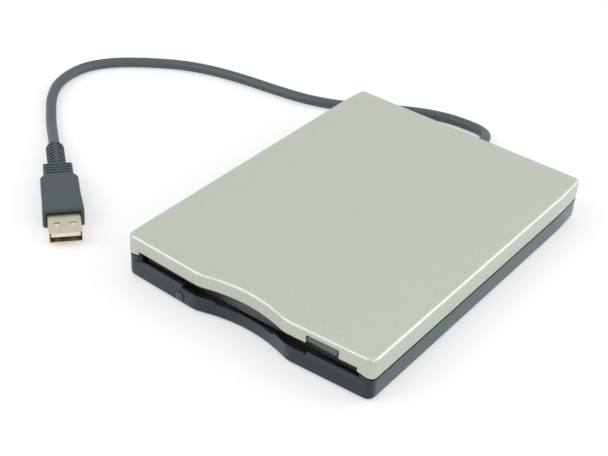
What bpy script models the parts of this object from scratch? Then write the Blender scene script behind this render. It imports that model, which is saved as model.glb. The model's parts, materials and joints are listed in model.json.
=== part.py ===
"""External floppy disk drive: silver cover, dark case, the mechanism inside, a lead and its plug.

Origin under the middle of the case on the table, +X to the right seen from the front, +Y to the
rear, +Z up. Places along Y are given from the plane of the two front corners. Everything inside
follows the width and depth of the case.
"""
from math import atan, atan2, cos, hypot, pi, radians, sin, sqrt

import bmesh
import bpy
from mathutils import Matrix, Vector

MM = 0.001
FULL_TURN = 2 * pi

# General fits
CLEARANCE = 0.3 * MM
RUNNING_CLEARANCE = 0.08 * MM
OVERRUN = 4.0 * MM
SHEET = 0.6 * MM
BOARD_THICK = 1.0 * MM

# Case
CASE_WIDTH = 104.0 * MM
CASE_DEPTH = 142.4 * MM
CASE_TOP = 17.5 * MM
UNDERSIDE = 0.7 * MM
WALL = 1.4 * MM
FLOOR_THICK = 1.2 * MM
ROOF_THICK = 1.4 * MM
FRONT_CORNER_RADIUS = 3.0 * MM
REAR_CORNER_RADIUS = 1.8 * MM
REAR_TAPER = 2.6 * MM
REAR_TAPER_LENGTH = 18.0 * MM
SHOULDER_X = 18.0 * MM
SHOULDER_REACH = 1.45 * MM
RECESS_Y = 1.65 * MM
RECESS_RADIUS = 51.0 * MM
SHOULDER_BLEND = 0.4 * MM
WAVE_SPAN_SHARE = 1.35
WAVE_STEPS = 18
TOP_FILLET = 1.2 * MM
BOTTOM_FILLET = 0.8 * MM
FRONT_DRAFT = 0.4 * MM
RECESS_UNDERCUT = 0.7 * MM
SIDE_PARTING = 8.75 * MM
FRONT_PARTING = 10.2 * MM
PARTING_GAP = 0.5 * MM
PARTING_FLAT = 6.0 * MM

HALF_WIDTH = CASE_WIDTH / 2

# Disk slot, lip and lamp window
SLOT_MARGIN = 5.8 * MM
SLOT_HALF = HALF_WIDTH - SLOT_MARGIN
SLOT_TOP = 12.35 * MM
LIP_TOP = 7.4 * MM
LIP_WALL = 1.2 * MM
LIP_LEAD_RISE = 0.9 * MM
LIP_LEAD_RUN = 1.3 * MM
LEDGE_REBATE = 0.7 * MM
REBATE_FLOOR = 5.0 * MM
SLOT_SPREAD = 2.7 * MM
LEDGE_BACK = 2.9 * MM
POCKET_FLOOR = 3.4 * MM
POCKET_STEPS = 5
NOTCH_HALF = 11.7 * MM
POCKET_WIDTH = 14.8 * MM
POCKET_END = NOTCH_HALF + POCKET_WIDTH
NOTCH_TOP = 6.3 * MM
NOTCH_MARGIN = 0.7 * MM
LAMP_INSET = 25.4 * MM
LAMP_X = LAMP_INSET - HALF_WIDTH
LAMP_Z = 3.5 * MM
LAMP_RADIUS = 1.55 * MM
LAMP_DEPTH = 4.2 * MM
LAMP_PROUD = 0.45 * MM
LAMP_GAP = 0.15 * MM

# Eject button and the notch it sits in
BUTTON_INSET = 13.1 * MM
BUTTON_WIDTH = 12.0 * MM
BUTTON_HIGH_X = HALF_WIDTH - BUTTON_INSET
BUTTON_LOW_X = BUTTON_HIGH_X - BUTTON_WIDTH
BUTTON_BOTTOM = 12.7 * MM
BUTTON_TOP = 15.2 * MM
BUTTON_FRONT = -1.2 * MM
BUTTON_BACK = 2.8 * MM
BUTTON_NOSE_HEIGHT = 0.9 * MM
BUTTON_SLOPE = 1.3 * MM
NOTCH_CORNER = 0.4 * MM

# Feet and case screws
FOOT_RADIUS = 4.5 * MM
FOOT_INSET = 11.0 * MM
FOOT_REAR_INSET = 17.4 * MM
FOOT_X = HALF_WIDTH - FOOT_INSET
FOOT_FRONT_Y = 12.0 * MM
FOOT_REAR_Y = CASE_DEPTH - FOOT_REAR_INSET
FOOT_SEAT = 0.5 * MM
SCREW_SIDE_INSET = 8.0 * MM
SCREW_REAR_INSET = 6.8 * MM
SCREW_X = HALF_WIDTH - SCREW_SIDE_INSET
SCREW_Y = CASE_DEPTH - SCREW_REAR_INSET
SCREW_RADIUS = 1.0 * MM
SCREW_HEAD_RADIUS = 1.9 * MM
SCREW_HEAD_HEIGHT = 1.2 * MM
SCREW_RECESS = 1.0 * MM
SCREW_TIP = 13.0 * MM
BOSS_RADIUS = 3.0 * MM
BOSS_TOP = 8.8 * MM

# Chassis, a folded sheet tray
CHASSIS_SIDE_GAP = 1.6 * MM
CHASSIS_HALF = HALF_WIDTH - WALL - CHASSIS_SIDE_GAP
CHASSIS_WALL = 0.8 * MM
CHASSIS_TOP = 15.2 * MM
CHASSIS_FRONT = 7.0 * MM
CHASSIS_REAR = 0.772 * CASE_DEPTH
EAR_FRONT = 2.6 * MM
EAR_LOW = 10.9 * MM
TONGUE_LOW_X = -16.0 * MM
TONGUE_HIGH_X = 22.0 * MM
TONGUE_REAR_INSET = 7.4 * MM
TONGUE_REAR = CASE_DEPTH - TONGUE_REAR_INSET

# Disk cradle, a folded channel that carries the disk
CRADLE_SIDE_GAP = 2.5 * MM
CRADLE_HALF = CHASSIS_HALF - CRADLE_SIDE_GAP
CRADLE_ROOF = 12.8 * MM
CRADLE_FRONT = 11.5 * MM
CRADLE_REAR = 0.73 * CASE_DEPTH
SHELF_TOP = 7.6 * MM
SHELF_DEPTH = 3.0 * MM
DROP = 1.8 * MM
PIN_RADIUS = 0.8 * MM
PIN_Z = 10.6 * MM
FRONT_PIN_Y = 0.21 * CASE_DEPTH
REAR_PIN_Y = 0.562 * CASE_DEPTH
WINDOW_HALF = 10.5 * MM
WINDOW_FRONT = 0.485 * CASE_DEPTH

# Eject slide, a folded plate over the cradle
SLIDE_SIDE_GAP = 1.3 * MM
SLIDE_HALF = CHASSIS_HALF - SLIDE_SIDE_GAP
SLIDE_PLATE = 14.7 * MM
SLIDE_FRONT = 14.0 * MM
SLIDE_SHORTER = 8.0 * MM
SLIDE_REAR = CRADLE_REAR - SLIDE_SHORTER
SLIDE_FLANGE_LOW = 6.8 * MM
TAB_MARGIN = 2.0 * MM
TRAVEL = 6.0 * MM

# Slot flap
FLAP_SIDE_GAP = 4.0 * MM
FLAP_HALF = CHASSIS_HALF - FLAP_SIDE_GAP
FLAP_FACE = 3.4 * MM
FLAP_THICK = 1.0 * MM
FLAP_BOTTOM = 6.95 * MM
FLAP_AXIS_Z = 13.2 * MM
FLAP_BARREL = 0.65 * MM
FLAP_PIN_RADIUS = 0.5 * MM

# Shutter lever
LEVER_PIVOT_X = -14.0 * MM
LEVER_REAR_GAP = 3.0 * MM
LEVER_SIDE_GAP = 1.9 * MM
LEVER_PIVOT_Y = CRADLE_REAR - LEVER_REAR_GAP
LEVER_LENGTH = CRADLE_HALF - SHEET - LEVER_SIDE_GAP + LEVER_PIVOT_X
LEVER_REST_DEG = 235.0
LEVER_SWING_DEG = 54.0
LEVER_HALF_WIDTH = 2.4 * MM
LEVER_PIN_RADIUS = 0.9 * MM
LEVER_PIN_LOW = 9.2 * MM
LEVER_POST_RADIUS = 1.1 * MM

# Spindle
SPINDLE_Y = 0.36 * CASE_DEPTH
STATOR_RADIUS = 0.123 * CASE_DEPTH
STATOR_RIM = 1.0 * MM
ROTOR_RADIUS = STATOR_RADIUS - STATOR_RIM
ROTOR_LOW = 4.0 * MM
ROTOR_TOP = 5.1 * MM
HUB_RADIUS = 9.0 * MM
HUB_TOP = 5.5 * MM
CENTRE_PIN_RADIUS = 1.7 * MM
CENTRE_PIN_TOP = 6.9 * MM
DRIVE_PIN_RADIUS = 1.0 * MM
DRIVE_PIN_TOP = 6.3 * MM
DRIVE_PIN_AT = 6.5 * MM
BEARING_RADIUS = 2.2 * MM
BEARING_TOP = 4.7 * MM

# Head carriage, upper arm, guide rod, lead screw and stepper motor
HEAD_Y = 0.637 * CASE_DEPTH
CARRIAGE_NOSE = 4.7 * MM
CARRIAGE_FRONT = HEAD_Y - CARRIAGE_NOSE
UPRIGHT_FRONT = 0.808 * CASE_DEPTH
UPRIGHT_THICK = 5.5 * MM
CARRIAGE_REAR = UPRIGHT_FRONT + UPRIGHT_THICK
CARRIAGE_LOW_X = -13.0 * MM
CARRIAGE_HIGH_X = 8.0 * MM
CARRIAGE_TOP = 5.4 * MM
CARRIAGE_NECK = 5.0 * MM
UPRIGHT_LOW_X = -7.0 * MM
UPRIGHT_TOP = 11.9 * MM
HEAD_HALF = 3.0 * MM
LOWER_HEAD_TOP = 7.1 * MM
HEAD_TRAVEL = 15.0 * MM
FOLLOWER_RADIUS = 0.6 * MM
ARM_HALF = 6.0 * MM
ARM_NOSE = 3.5 * MM
ARM_HEEL = 10.0 * MM
ARM_FRONT = HEAD_Y - ARM_NOSE
ARM_STEP_Y = UPRIGHT_FRONT - ARM_HEEL
ARM_STEP = 1.1 * MM
ARM_THICK = 0.8 * MM
ARM_HEAD_LOW = 11.5 * MM
ROD_X = -10.0 * MM
ROD_Z = 4.25 * MM
ROD_RADIUS = 0.75 * MM
ROD_BEHIND = 2.5 * MM
ROD_FRONT = 0.487 * CASE_DEPTH
ROD_REAR = CARRIAGE_REAR + ROD_BEHIND
SCREW_SHAFT_X = 12.0 * MM
LEAD_RADIUS = 1.2 * MM
LEAD_FRONT = 0.709 * CASE_DEPTH
LEAD_TIP_RADIUS = 0.6 * MM
LEAD_TIP_LENGTH = 0.9 * MM
MOTOR_RADIUS = 5.2 * MM
MOTOR_LENGTH = 11.5 * MM
BRACKET_BEHIND = 1.0 * MM
BRACKET_Y = CARRIAGE_REAR + BRACKET_BEHIND
BRACKET_HALF = 5.2 * MM
BRACKET_EAR_TOP = 10.2 * MM
BRACKET_HIGH = 13.6 * MM

# Boards, switches and the cable between the boards
BOARD_SIDE_INSET = 10.0 * MM
MAIN_BOARD_HALF = HALF_WIDTH - BOARD_SIDE_INSET
MAIN_BOARD_FRONT = 10.0 * MM
MAIN_BOARD_REAR = 0.21 * CASE_DEPTH
CONVERTER_SIDE_INSET = 11.5 * MM
CONVERTER_REAR_INSET = 4.4 * MM
CONVERTER_LOW_X = CONVERTER_SIDE_INSET - HALF_WIDTH
CONVERTER_HIGH_X = -18.0 * MM
CONVERTER_FRONT = 0.794 * CASE_DEPTH
CONVERTER_REAR = CASE_DEPTH - CONVERTER_REAR_INSET
CHIP_HEIGHT = 0.8 * MM
MAIN_CHIP_SIZE = 12.0 * MM
SMALL_CHIP_SIZE = 7.0 * MM
MAIN_CHIP_X = 8.0 * MM
SMALL_CHIP_X = -16.0 * MM
CONNECTOR_WIDTH = 9.0 * MM
CONNECTOR_DEPTH = 3.0 * MM
SWITCH_Y = 14.0 * MM
SWITCH_INSET = 2.5 * MM
SWITCH_PITCH = 8.0 * MM
SWITCH_HALF = 2.3 * MM
SWITCH_HEIGHT = 1.3 * MM
PLUNGER_RADIUS = 0.8 * MM
PLUNGER_TOP = 6.6 * MM
PLUNGER_TRAVEL = 0.8 * MM
PLUNGER_SEAT = 0.2 * MM
CABLE_INSET = 18.0 * MM
CABLE_X = CABLE_INSET - HALF_WIDTH
CABLE_HALF = 4.0 * MM
CABLE_THICK = 0.3 * MM
BOARD_POST_RADIUS = 1.5 * MM

# Gland and cord
CORD_DIAMETER = 4.4 * MM
CORD_EXIT_Z = 6.2 * MM
GLAND_FLANGE_RADIUS = 4.0 * MM
GLAND_FLANGE_THICK = 1.2 * MM
GLAND_NECK_RADIUS = 2.9 * MM
GLAND_ROOT_RADIUS = 3.6 * MM
GLAND_TIP_RADIUS = 2.7 * MM
GLAND_LENGTH = 12.0 * MM
GLAND_GROOVES = 4
GLAND_GROOVE_DEPTH = 0.5 * MM

# Plug, in its own frame: +Y runs from its mouth to the cord
PLUG_AXIS_Z = 4.0 * MM
PLUG_NOSE_X = -79.5 * MM
PLUG_NOSE_Y = -144.8 * MM
PLUG_TURN_DEG = 49.5
SHELL_WIDTH = 12.0 * MM
SHELL_HEIGHT = 4.5 * MM
SHELL_LENGTH = 12.0 * MM
SHELL_WALL = 0.35 * MM
SHELL_WINDOW = 2.3 * MM
SHELL_WINDOW_X = 2.9 * MM
SHELL_WINDOW_Y = 5.4 * MM
TONGUE_THICK = 1.9 * MM
TONGUE_SETBACK = 0.7 * MM
GRIP_WIDTH = 15.4 * MM
GRIP_HEIGHT = 8.0 * MM
GRIP_LENGTH = 25.0 * MM
GRIP_WAIST = 0.5 * MM
GRIP_BEVEL = 0.8 * MM
NECK_WIDTH = 11.2 * MM
NECK_LENGTH = 8.0 * MM
NECK_HEIGHT = 7.2 * MM
NECK_BLEND = 2.2 * MM
NECK_GROOVES = 4
NECK_GROOVE_DEPTH = 0.3 * MM
BOOT_RADIUS = 3.6 * MM
BOOT_CORE_RADIUS = 2.75 * MM
BOOT_LENGTH = 16.0 * MM
BOOT_SLOTS = 7
BOOT_SPINE_HALF = 0.8 * MM

# The cord's route on the table, X and Y from the middle of the rear face, in millimetres
CORD_ROUTE = (
    (0.0, 12.6), (0.0, 17.0), (-2.6, 23.1), (-8.0, 27.9), (-15.5, 29.8), (-24.0, 28.9),
    (-33.0, 25.6), (-42.0, 20.6), (-51.0, 14.6), (-60.0, 8.6), (-70.0, 3.2), (-81.0, -0.6),
    (-93.0, -2.8), (-105.0, -4.4), (-116.0, -6.2), (-127.0, -9.0), (-138.0, -13.6), (-148.0, -20.1),
    (-157.0, -27.6), (-164.0, -35.6), (-168.4, -44.8), (-168.8, -55.0), (-165.4, -65.4),
    (-158.8, -75.0), (-150.4, -83.6),
)
CORD_LIFT_SHARES = (1.0, 0.93, 0.62, 0.24, 0.04)
CORD_STEP_SHARE = 2.6
CORD_RISE_LENGTH = 22.0 * MM

# Facets
FACETS_LARGE = 40
FACETS_MEDIUM = 20
FACETS_SMALL = 12
ARC_STEPS = 5

INNER_FLOOR = UNDERSIDE + FLOOR_THICK
ROOF = CASE_TOP - ROOF_THICK
CHASSIS_FLOOR = INNER_FLOOR + CLEARANCE
CHASSIS_FLOOR_TOP = CHASSIS_FLOOR + SHEET
BOARD_LOW = CHASSIS_FLOOR_TOP + CLEARANCE
BOARD_TOP = BOARD_LOW + BOARD_THICK
MOTOR_Z = CHASSIS_FLOOR_TOP + CLEARANCE + MOTOR_RADIUS
FLAP_AXIS_Y = FLAP_FACE + FLAP_THICK / 2


def front_edge(x, draft=0.0, undercut=0.0):
    """Distance of the wavy front behind the corner plane, at x from the middle."""
    straight_end = HALF_WIDTH - FRONT_CORNER_RADIUS
    slope = -SHOULDER_REACH * (straight_end - abs(x)) / (straight_end - SHOULDER_X)
    recess = RECESS_Y + undercut - x * x / (2 * RECESS_RADIUS)
    blend = sqrt((slope - recess) ** 2 + SHOULDER_BLEND ** 2)
    return (slope + recess + blend) / 2 + draft


WAVE_XS = [SHOULDER_X * WAVE_SPAN_SHARE * step / WAVE_STEPS for step in range(WAVE_STEPS + 1)]
CREST = min(front_edge(x) for x in WAVE_XS)
FRONT = -(CASE_DEPTH + CREST) / 2


def at(y):
    """World Y of a place given from the plane of the front corners."""
    return FRONT + y


def behind(y):
    """World Y of a place given from the rear face."""
    return at(CASE_DEPTH + y)


def arc(centre, radius, start, end, steps=ARC_STEPS):
    """Points along an arc, both ends included, angles in radians."""
    turns = [start + (end - start) * step / steps for step in range(steps + 1)]
    return [(centre[0] + radius * cos(turn), centre[1] + radius * sin(turn)) for turn in turns]


def face_y(x, z):
    """World Y of the drafted front face of the lower case."""
    lean = (CASE_TOP - z) / (CASE_TOP - UNDERSIDE)
    return at(front_edge(x, FRONT_DRAFT * lean, RECESS_UNDERCUT * lean))


def case_outline(draft=0.0, undercut=0.0):
    """Plan outline of the case, anticlockwise from the middle of the front."""
    half = [(x, at(front_edge(x, draft, undercut))) for x in WAVE_XS]
    front_centre = (HALF_WIDTH - FRONT_CORNER_RADIUS, at(FRONT_CORNER_RADIUS + draft))
    half += arc(front_centre, FRONT_CORNER_RADIUS, -pi / 2, 0.0)
    lean = atan(2 * REAR_TAPER / REAR_TAPER_LENGTH)
    rear_centre_y = at(CASE_DEPTH - REAR_CORNER_RADIUS)
    corner = arc((HALF_WIDTH - REAR_TAPER, rear_centre_y), REAR_CORNER_RADIUS, lean, pi / 2)
    taper_start = corner[0][1] - REAR_TAPER_LENGTH
    taper = HALF_WIDTH - corner[0][0] + REAR_CORNER_RADIUS * (1 - cos(lean))
    taper += REAR_CORNER_RADIUS * (cos(lean) - 1)
    for step in range(ARC_STEPS):
        along = step / ARC_STEPS
        half.append((HALF_WIDTH - taper * along ** 2, taper_start + REAR_TAPER_LENGTH * along))
    half += corner
    return half + [(-x, y) for x, y in reversed(half) if x > 0.0]


def inset(outline, distance):
    """The same outline moved inwards by a distance, corner by corner."""
    moved = []
    count = len(outline)
    for index, (x, y) in enumerate(outline):
        before = Vector(outline[index - 1])
        after = Vector(outline[(index + 1) % count])
        first = (Vector((x, y)) - before).normalized()
        second = (after - Vector((x, y))).normalized()
        normal = Vector((-first.y - second.y, first.x + second.x)).normalized()
        reach = distance / max(normal.dot(Vector((-first.y, first.x))), 0.5)
        moved.append((x + normal.x * reach, y + normal.y * reach))
    return moved


def rectangle(low_u, high_u, low_v, high_v):
    return [(low_u, low_v), (high_u, low_v), (high_u, high_v), (low_u, high_v)]


def rounded_rectangle(low_u, high_u, low_v, high_v, radius, steps=2):
    """A rectangle with its four corners rounded."""
    corners = ((high_u, high_v, 0), (low_u, high_v, 1), (low_u, low_v, 2), (high_u, low_v, 3))
    points = []
    for u, v, quarter in corners:
        centre_u = u - radius if u == high_u else u + radius
        centre_v = v - radius if v == high_v else v + radius
        start = quarter * pi / 2
        points += arc((centre_u, centre_v), radius, start, start + pi / 2, steps)
    return points


def stadium(first, second, radius):
    """Outline of a straight slot with round ends at two points."""
    heading = atan2(second[1] - first[1], second[0] - first[0])
    points = arc(second, radius, heading - pi / 2, heading + pi / 2)
    return points + arc(first, radius, heading + pi / 2, heading + 3 * pi / 2)


def curved_slot(centre, radius, start, end, half_width, steps=10):
    """Outline of a slot that follows an arc, with square ends."""
    outer = arc(centre, radius + half_width, start, end, steps)
    inner = arc(centre, radius - half_width, end, start, steps)
    return outer + inner


AXES = {
    "X": lambda u, v, w: (w, u, v),
    "Y": lambda u, v, w: (u, w, v),
    "Z": lambda u, v, w: (u, v, w),
}


def collection(name, hidden=False):
    group = bpy.data.collections.new(name)
    bpy.context.scene.collection.children.link(group)
    group.hide_render = hidden
    return group


def material(name, colour, roughness, metallic=0.0):
    """A Principled material, its colour given as an sRGB hex string."""
    channels = [int(colour[index:index + 2], 16) / 255 for index in (0, 2, 4)]
    linear = [c / 12.92 if c <= 0.04045 else ((c + 0.055) / 1.055) ** 2.4 for c in channels]
    made = bpy.data.materials.new(name)
    made.use_nodes = True
    shader = made.node_tree.nodes["Principled BSDF"]
    shader.inputs["Base Color"].default_value = (*linear, 1.0)
    shader.inputs["Roughness"].default_value = roughness
    shader.inputs["Metallic"].default_value = metallic
    return made


def new_object(name, mesh_data, finish=None):
    """Turn a bmesh into an object; without a finish it is a cutter or a piece to be joined."""
    bmesh.ops.recalc_face_normals(mesh_data, faces=mesh_data.faces)
    mesh = bpy.data.meshes.new(name)
    mesh_data.to_mesh(mesh)
    mesh_data.free()
    made = bpy.data.objects.new(name, mesh)
    if finish is None:
        CUTTERS.objects.link(made)
        made.hide_render = True
        made.display_type = "WIRE"
    else:
        PARTS.objects.link(made)
        mesh.materials.append(finish)
    return made


def loft(name, rings, finish=None, weighted_rings=()):
    """Skin rings of equally many points and cap both ends; named rings get a bevel weight."""
    mesh_data = bmesh.new()
    weight = mesh_data.edges.layers.float.new("bevel_weight_edge")
    loops = [[mesh_data.verts.new(point) for point in ring] for ring in rings]
    for lower, upper in zip(loops, loops[1:]):
        for index in range(len(lower)):
            following = (index + 1) % len(lower)
            mesh_data.faces.new((lower[index], lower[following], upper[following], upper[index]))
    mesh_data.faces.new(reversed(loops[0]))
    mesh_data.faces.new(loops[-1])
    for ring_index in weighted_rings:
        loop = loops[ring_index]
        for index, vertex in enumerate(loop):
            mesh_data.edges.get((loop[index - 1], vertex))[weight] = 1.0
    return new_object(name, mesh_data, finish)


def prism(name, outline, low, high, axis="Z", finish=None):
    """A flat outline given thickness along X, Y or Z."""
    place = AXES[axis]
    rings = [[place(u, v, w) for u, v in outline] for w in (low, high)]
    return loft(name, rings, finish)


def block(name, low, high, finish=None):
    """A box between two opposite corners."""
    outline = rectangle(low[0], high[0], low[1], high[1])
    return prism(name, outline, low[2], high[2], "Z", finish)


def rod(name, start, end, radius, facets=FACETS_SMALL, finish=None):
    """A straight round bar between two points."""
    start, end = Vector(start), Vector(end)
    aim = (end - start).to_track_quat("Z", "Y").to_matrix().to_4x4()
    mesh_data = bmesh.new()
    bmesh.ops.create_cone(
        mesh_data, cap_ends=True, segments=facets, radius1=radius, radius2=radius,
        depth=(end - start).length, matrix=Matrix.Translation((start + end) / 2) @ aim)
    return new_object(name, mesh_data, finish)


def turned(name, profile, facets, finish=None):
    """A profile of (radius, height) from top to bottom, screwed round Z."""
    mesh = bpy.data.meshes.new(name)
    points = [(radius, 0.0, height) for radius, height in profile]
    edges = [(index, index + 1) for index in range(len(points) - 1)]
    if profile[0][0] > 0.0:
        edges.append((len(points) - 1, 0))
    mesh.from_pydata(points, edges, [])
    made = bpy.data.objects.new(name, mesh)
    if finish is None:
        CUTTERS.objects.link(made)
        made.hide_render = True
        made.display_type = "WIRE"
    else:
        PARTS.objects.link(made)
        mesh.materials.append(finish)
    screw = made.modifiers.new("Turn", "SCREW")
    screw.angle = FULL_TURN
    screw.steps = facets
    screw.render_steps = facets
    screw.use_merge_vertices = True
    screw.merge_threshold = 0.00001
    return made


def combine(made, other, operation):
    """Cut or join another object into this one."""
    modifier = made.modifiers.new(other.name, "BOOLEAN")
    modifier.operation = operation
    modifier.solver = "EXACT"
    modifier.object = other
    return made


def cut(made, *others):
    for other in others:
        combine(made, other, "DIFFERENCE")
    return made


def join(made, *others):
    for other in others:
        combine(made, other, "UNION")
    return made


def weighted_bevel(made, width, segments):
    bevel = made.modifiers.new("Edge", "BEVEL")
    bevel.limit_method = "WEIGHT"
    bevel.width = width
    bevel.segments = segments
    return made


def set_origin(made, point):
    """Move an object's origin without moving its shape."""
    point = Vector(point)
    made.data.transform(Matrix.Translation(made.location - point))
    made.location = point
    return made


def across(name, outline):
    """A cutter right across the case, its outline in Y and Z."""
    return prism(name, outline, -HALF_WIDTH - OVERRUN, HALF_WIDTH + OVERRUN, "X")


def beyond_parting(name, lift, far):
    """Everything beyond the parting line, up or down to the height far.

    The line is level along the sides and the rear, and rises over the front corners to the slot.
    """
    foot = HALF_WIDTH + RUNNING_CLEARANCE
    low, high = SIDE_PARTING + lift, FRONT_PARTING + lift
    outline = [
        (-foot, far), (foot, far), (foot, low), (SLOT_HALF, high), (-SLOT_HALF, high), (-foot, low)]
    front = prism(f"{name} front", outline, at(-OVERRUN), at(PARTING_FLAT), "Y")
    side = [
        (at(PARTING_FLAT - CLEARANCE), low), (at(CASE_DEPTH + OVERRUN), low),
        (at(CASE_DEPTH + OVERRUN), far), (at(PARTING_FLAT - CLEARANCE), far)]
    return [front, across(f"{name} sides", side)]


def screw_places():
    return {"left": -SCREW_X, "right": SCREW_X}


def foot_places():
    sides = {"left": -FOOT_X, "right": FOOT_X}
    ends = {"front": FOOT_FRONT_Y, "rear": FOOT_REAR_Y}
    return {f"{end}_{side}": (sides[side], at(ends[end])) for end in ends for side in sides}


def lip_pocket(side):
    """Pocket behind the thin lip, where the front bulges away from the flap."""
    spread = POCKET_END - NOTCH_HALF
    xs = [NOTCH_HALF + spread * step / POCKET_STEPS for step in range(POCKET_STEPS + 1)]
    outline = [(side * x, at(front_edge(x) + LIP_WALL)) for x in xs]
    back = at(LEDGE_BACK + OVERRUN / 2)
    outline += [(side * POCKET_END, back), (side * NOTCH_HALF, back)]
    return prism(f"lip pocket {side}", outline, POCKET_FLOOR, CASE_TOP)


def lip_lead_in(side):
    """Sloped strip along the front of the ledge, from a pocket to the end of the slot."""
    front_z = LIP_TOP - LIP_LEAD_RISE
    rings = []
    for x in (POCKET_END - CLEARANCE, SLOT_HALF):
        y = face_y(x, front_z)
        rings.append([
            (side * x, y - LIP_LEAD_RUN, front_z - LIP_LEAD_RISE),
            (side * x, y + 2 * LIP_LEAD_RUN, front_z + 2 * LIP_LEAD_RISE),
            (side * x, y - LIP_LEAD_RUN, front_z + 2 * LIP_LEAD_RISE)])
    return loft(f"lip lead-in {side}", rings)


def slot_end_lead_in(side):
    """Three-cornered facet at the end of the slot, which widens the mouth towards the lip."""
    front_z = LIP_TOP - LIP_LEAD_RISE
    inner = SLOT_HALF - 2 * CLEARANCE
    y = face_y(SLOT_HALF, front_z) + RUNNING_CLEARANCE
    top = FRONT_PARTING + CLEARANCE
    outward = [
        (side * inner, y - LIP_LEAD_RUN, front_z - LIP_LEAD_RISE),
        (side * (SLOT_HALF + 2 * SLOT_SPREAD), y - LIP_LEAD_RUN, front_z - LIP_LEAD_RISE),
        (side * (SLOT_HALF + CLEARANCE), y - LIP_LEAD_RUN, top), (side * inner, y - LIP_LEAD_RUN, top)]
    inward = [
        (side * inner, y + LIP_LEAD_RUN, LIP_TOP), (side * (SLOT_HALF + CLEARANCE / 2), y + LIP_LEAD_RUN, LIP_TOP),
        (side * (SLOT_HALF + CLEARANCE / 2), y + LIP_LEAD_RUN, top), (side * inner, y + LIP_LEAD_RUN, top)]
    return loft(f"slot end lead-in {side}", [outward, inward])


def ledge_rebate(side):
    """Groove along the back of the ledge, where the flap's lower edge swings past."""
    low_x, high_x = sorted((side * (POCKET_END - CLEARANCE), side * SLOT_HALF))
    low = (low_x, at(LEDGE_BACK - LEDGE_REBATE), REBATE_FLOOR)
    high = (high_x, at(LEDGE_BACK + OVERRUN), CASE_TOP - ROOF_THICK)
    return block(f"ledge rebate {side}", low, high)


def gland_hole():
    start = (0.0, at(CASE_DEPTH - WALL - OVERRUN), CORD_EXIT_Z)
    end = (0.0, at(CASE_DEPTH + OVERRUN), CORD_EXIT_Z)
    return rod("gland hole", start, end, GLAND_NECK_RADIUS + CLEARANCE, FACETS_MEDIUM)


def make_bottom_case(finish):
    rings = []
    for height, draft, undercut in ((UNDERSIDE, FRONT_DRAFT, RECESS_UNDERCUT), (CASE_TOP, 0.0, 0.0)):
        rings.append([(x, y, height) for x, y in case_outline(draft, undercut)])
    case = loft("bottom_case", rings, finish, weighted_rings=(0,))
    weighted_bevel(case, BOTTOM_FILLET, 2)
    hollow = [(x, max(y, at(LEDGE_BACK))) for x, y in inset(case_outline(), WALL)]
    cut(case, *beyond_parting("above the parting line", 0.0, CASE_TOP + OVERRUN))
    cut(case, prism("case hollow", hollow, INNER_FLOOR, CASE_TOP))
    mouth_low = (-SLOT_HALF, at(-OVERRUN), LIP_TOP)
    mouth_high = (SLOT_HALF, at(LEDGE_BACK + OVERRUN), CASE_TOP)
    cut(case, block("slot mouth", mouth_low, mouth_high))
    for side in (-1, 1):
        cut(case, lip_pocket(side), lip_lead_in(side), slot_end_lead_in(side), ledge_rebate(side))
    notch_low = (-NOTCH_HALF - NOTCH_MARGIN, at(-OVERRUN), NOTCH_TOP)
    notch_high = (NOTCH_HALF + NOTCH_MARGIN, at(LEDGE_BACK + OVERRUN), CASE_TOP)
    cut(case, block("finger notch", notch_low, notch_high))
    for place, (x, y) in foot_places().items():
        top = UNDERSIDE + FOOT_SEAT + CLEARANCE
        start, end = (x, y, -OVERRUN), (x, y, top)
        cut(case, rod(f"foot seat {place}", start, end, FOOT_RADIUS + CLEARANCE, FACETS_MEDIUM))
    for side, x in screw_places().items():
        y = at(SCREW_Y)
        seat = UNDERSIDE + SCREW_RECESS + SCREW_HEAD_HEIGHT + CLEARANCE
        join(case, rod(f"boss {side}", (x, y, UNDERSIDE + FLOOR_THICK / 2), (x, y, BOSS_TOP),
                       BOSS_RADIUS, FACETS_MEDIUM))
        cut(case, rod(f"screw hole {side}", (x, y, -OVERRUN), (x, y, CASE_TOP),
                      SCREW_RADIUS + CLEARANCE, FACETS_SMALL))
        cut(case, rod(f"screw seat {side}", (x, y, -OVERRUN), (x, y, seat),
                      SCREW_HEAD_RADIUS + CLEARANCE, FACETS_SMALL))
    for name, share in (("front", 0.15), ("rear", 0.85)):
        x = (CONVERTER_LOW_X + CONVERTER_HIGH_X) / 2
        y = at(CONVERTER_FRONT + (CONVERTER_REAR - CONVERTER_FRONT) * share)
        join(case, rod(f"board post {name}", (x, y, UNDERSIDE + FLOOR_THICK / 2),
                       (x, y, BOARD_LOW - CLEARANCE), BOARD_POST_RADIUS))
    lamp_start = (LAMP_X, at(-OVERRUN), LAMP_Z)
    lamp_end = (LAMP_X, at(LEDGE_BACK + OVERRUN), LAMP_Z)
    cut(case, rod("lamp hole", lamp_start, lamp_end, LAMP_RADIUS + LAMP_GAP, FACETS_MEDIUM))
    cut(case, gland_hole())
    return case


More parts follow.
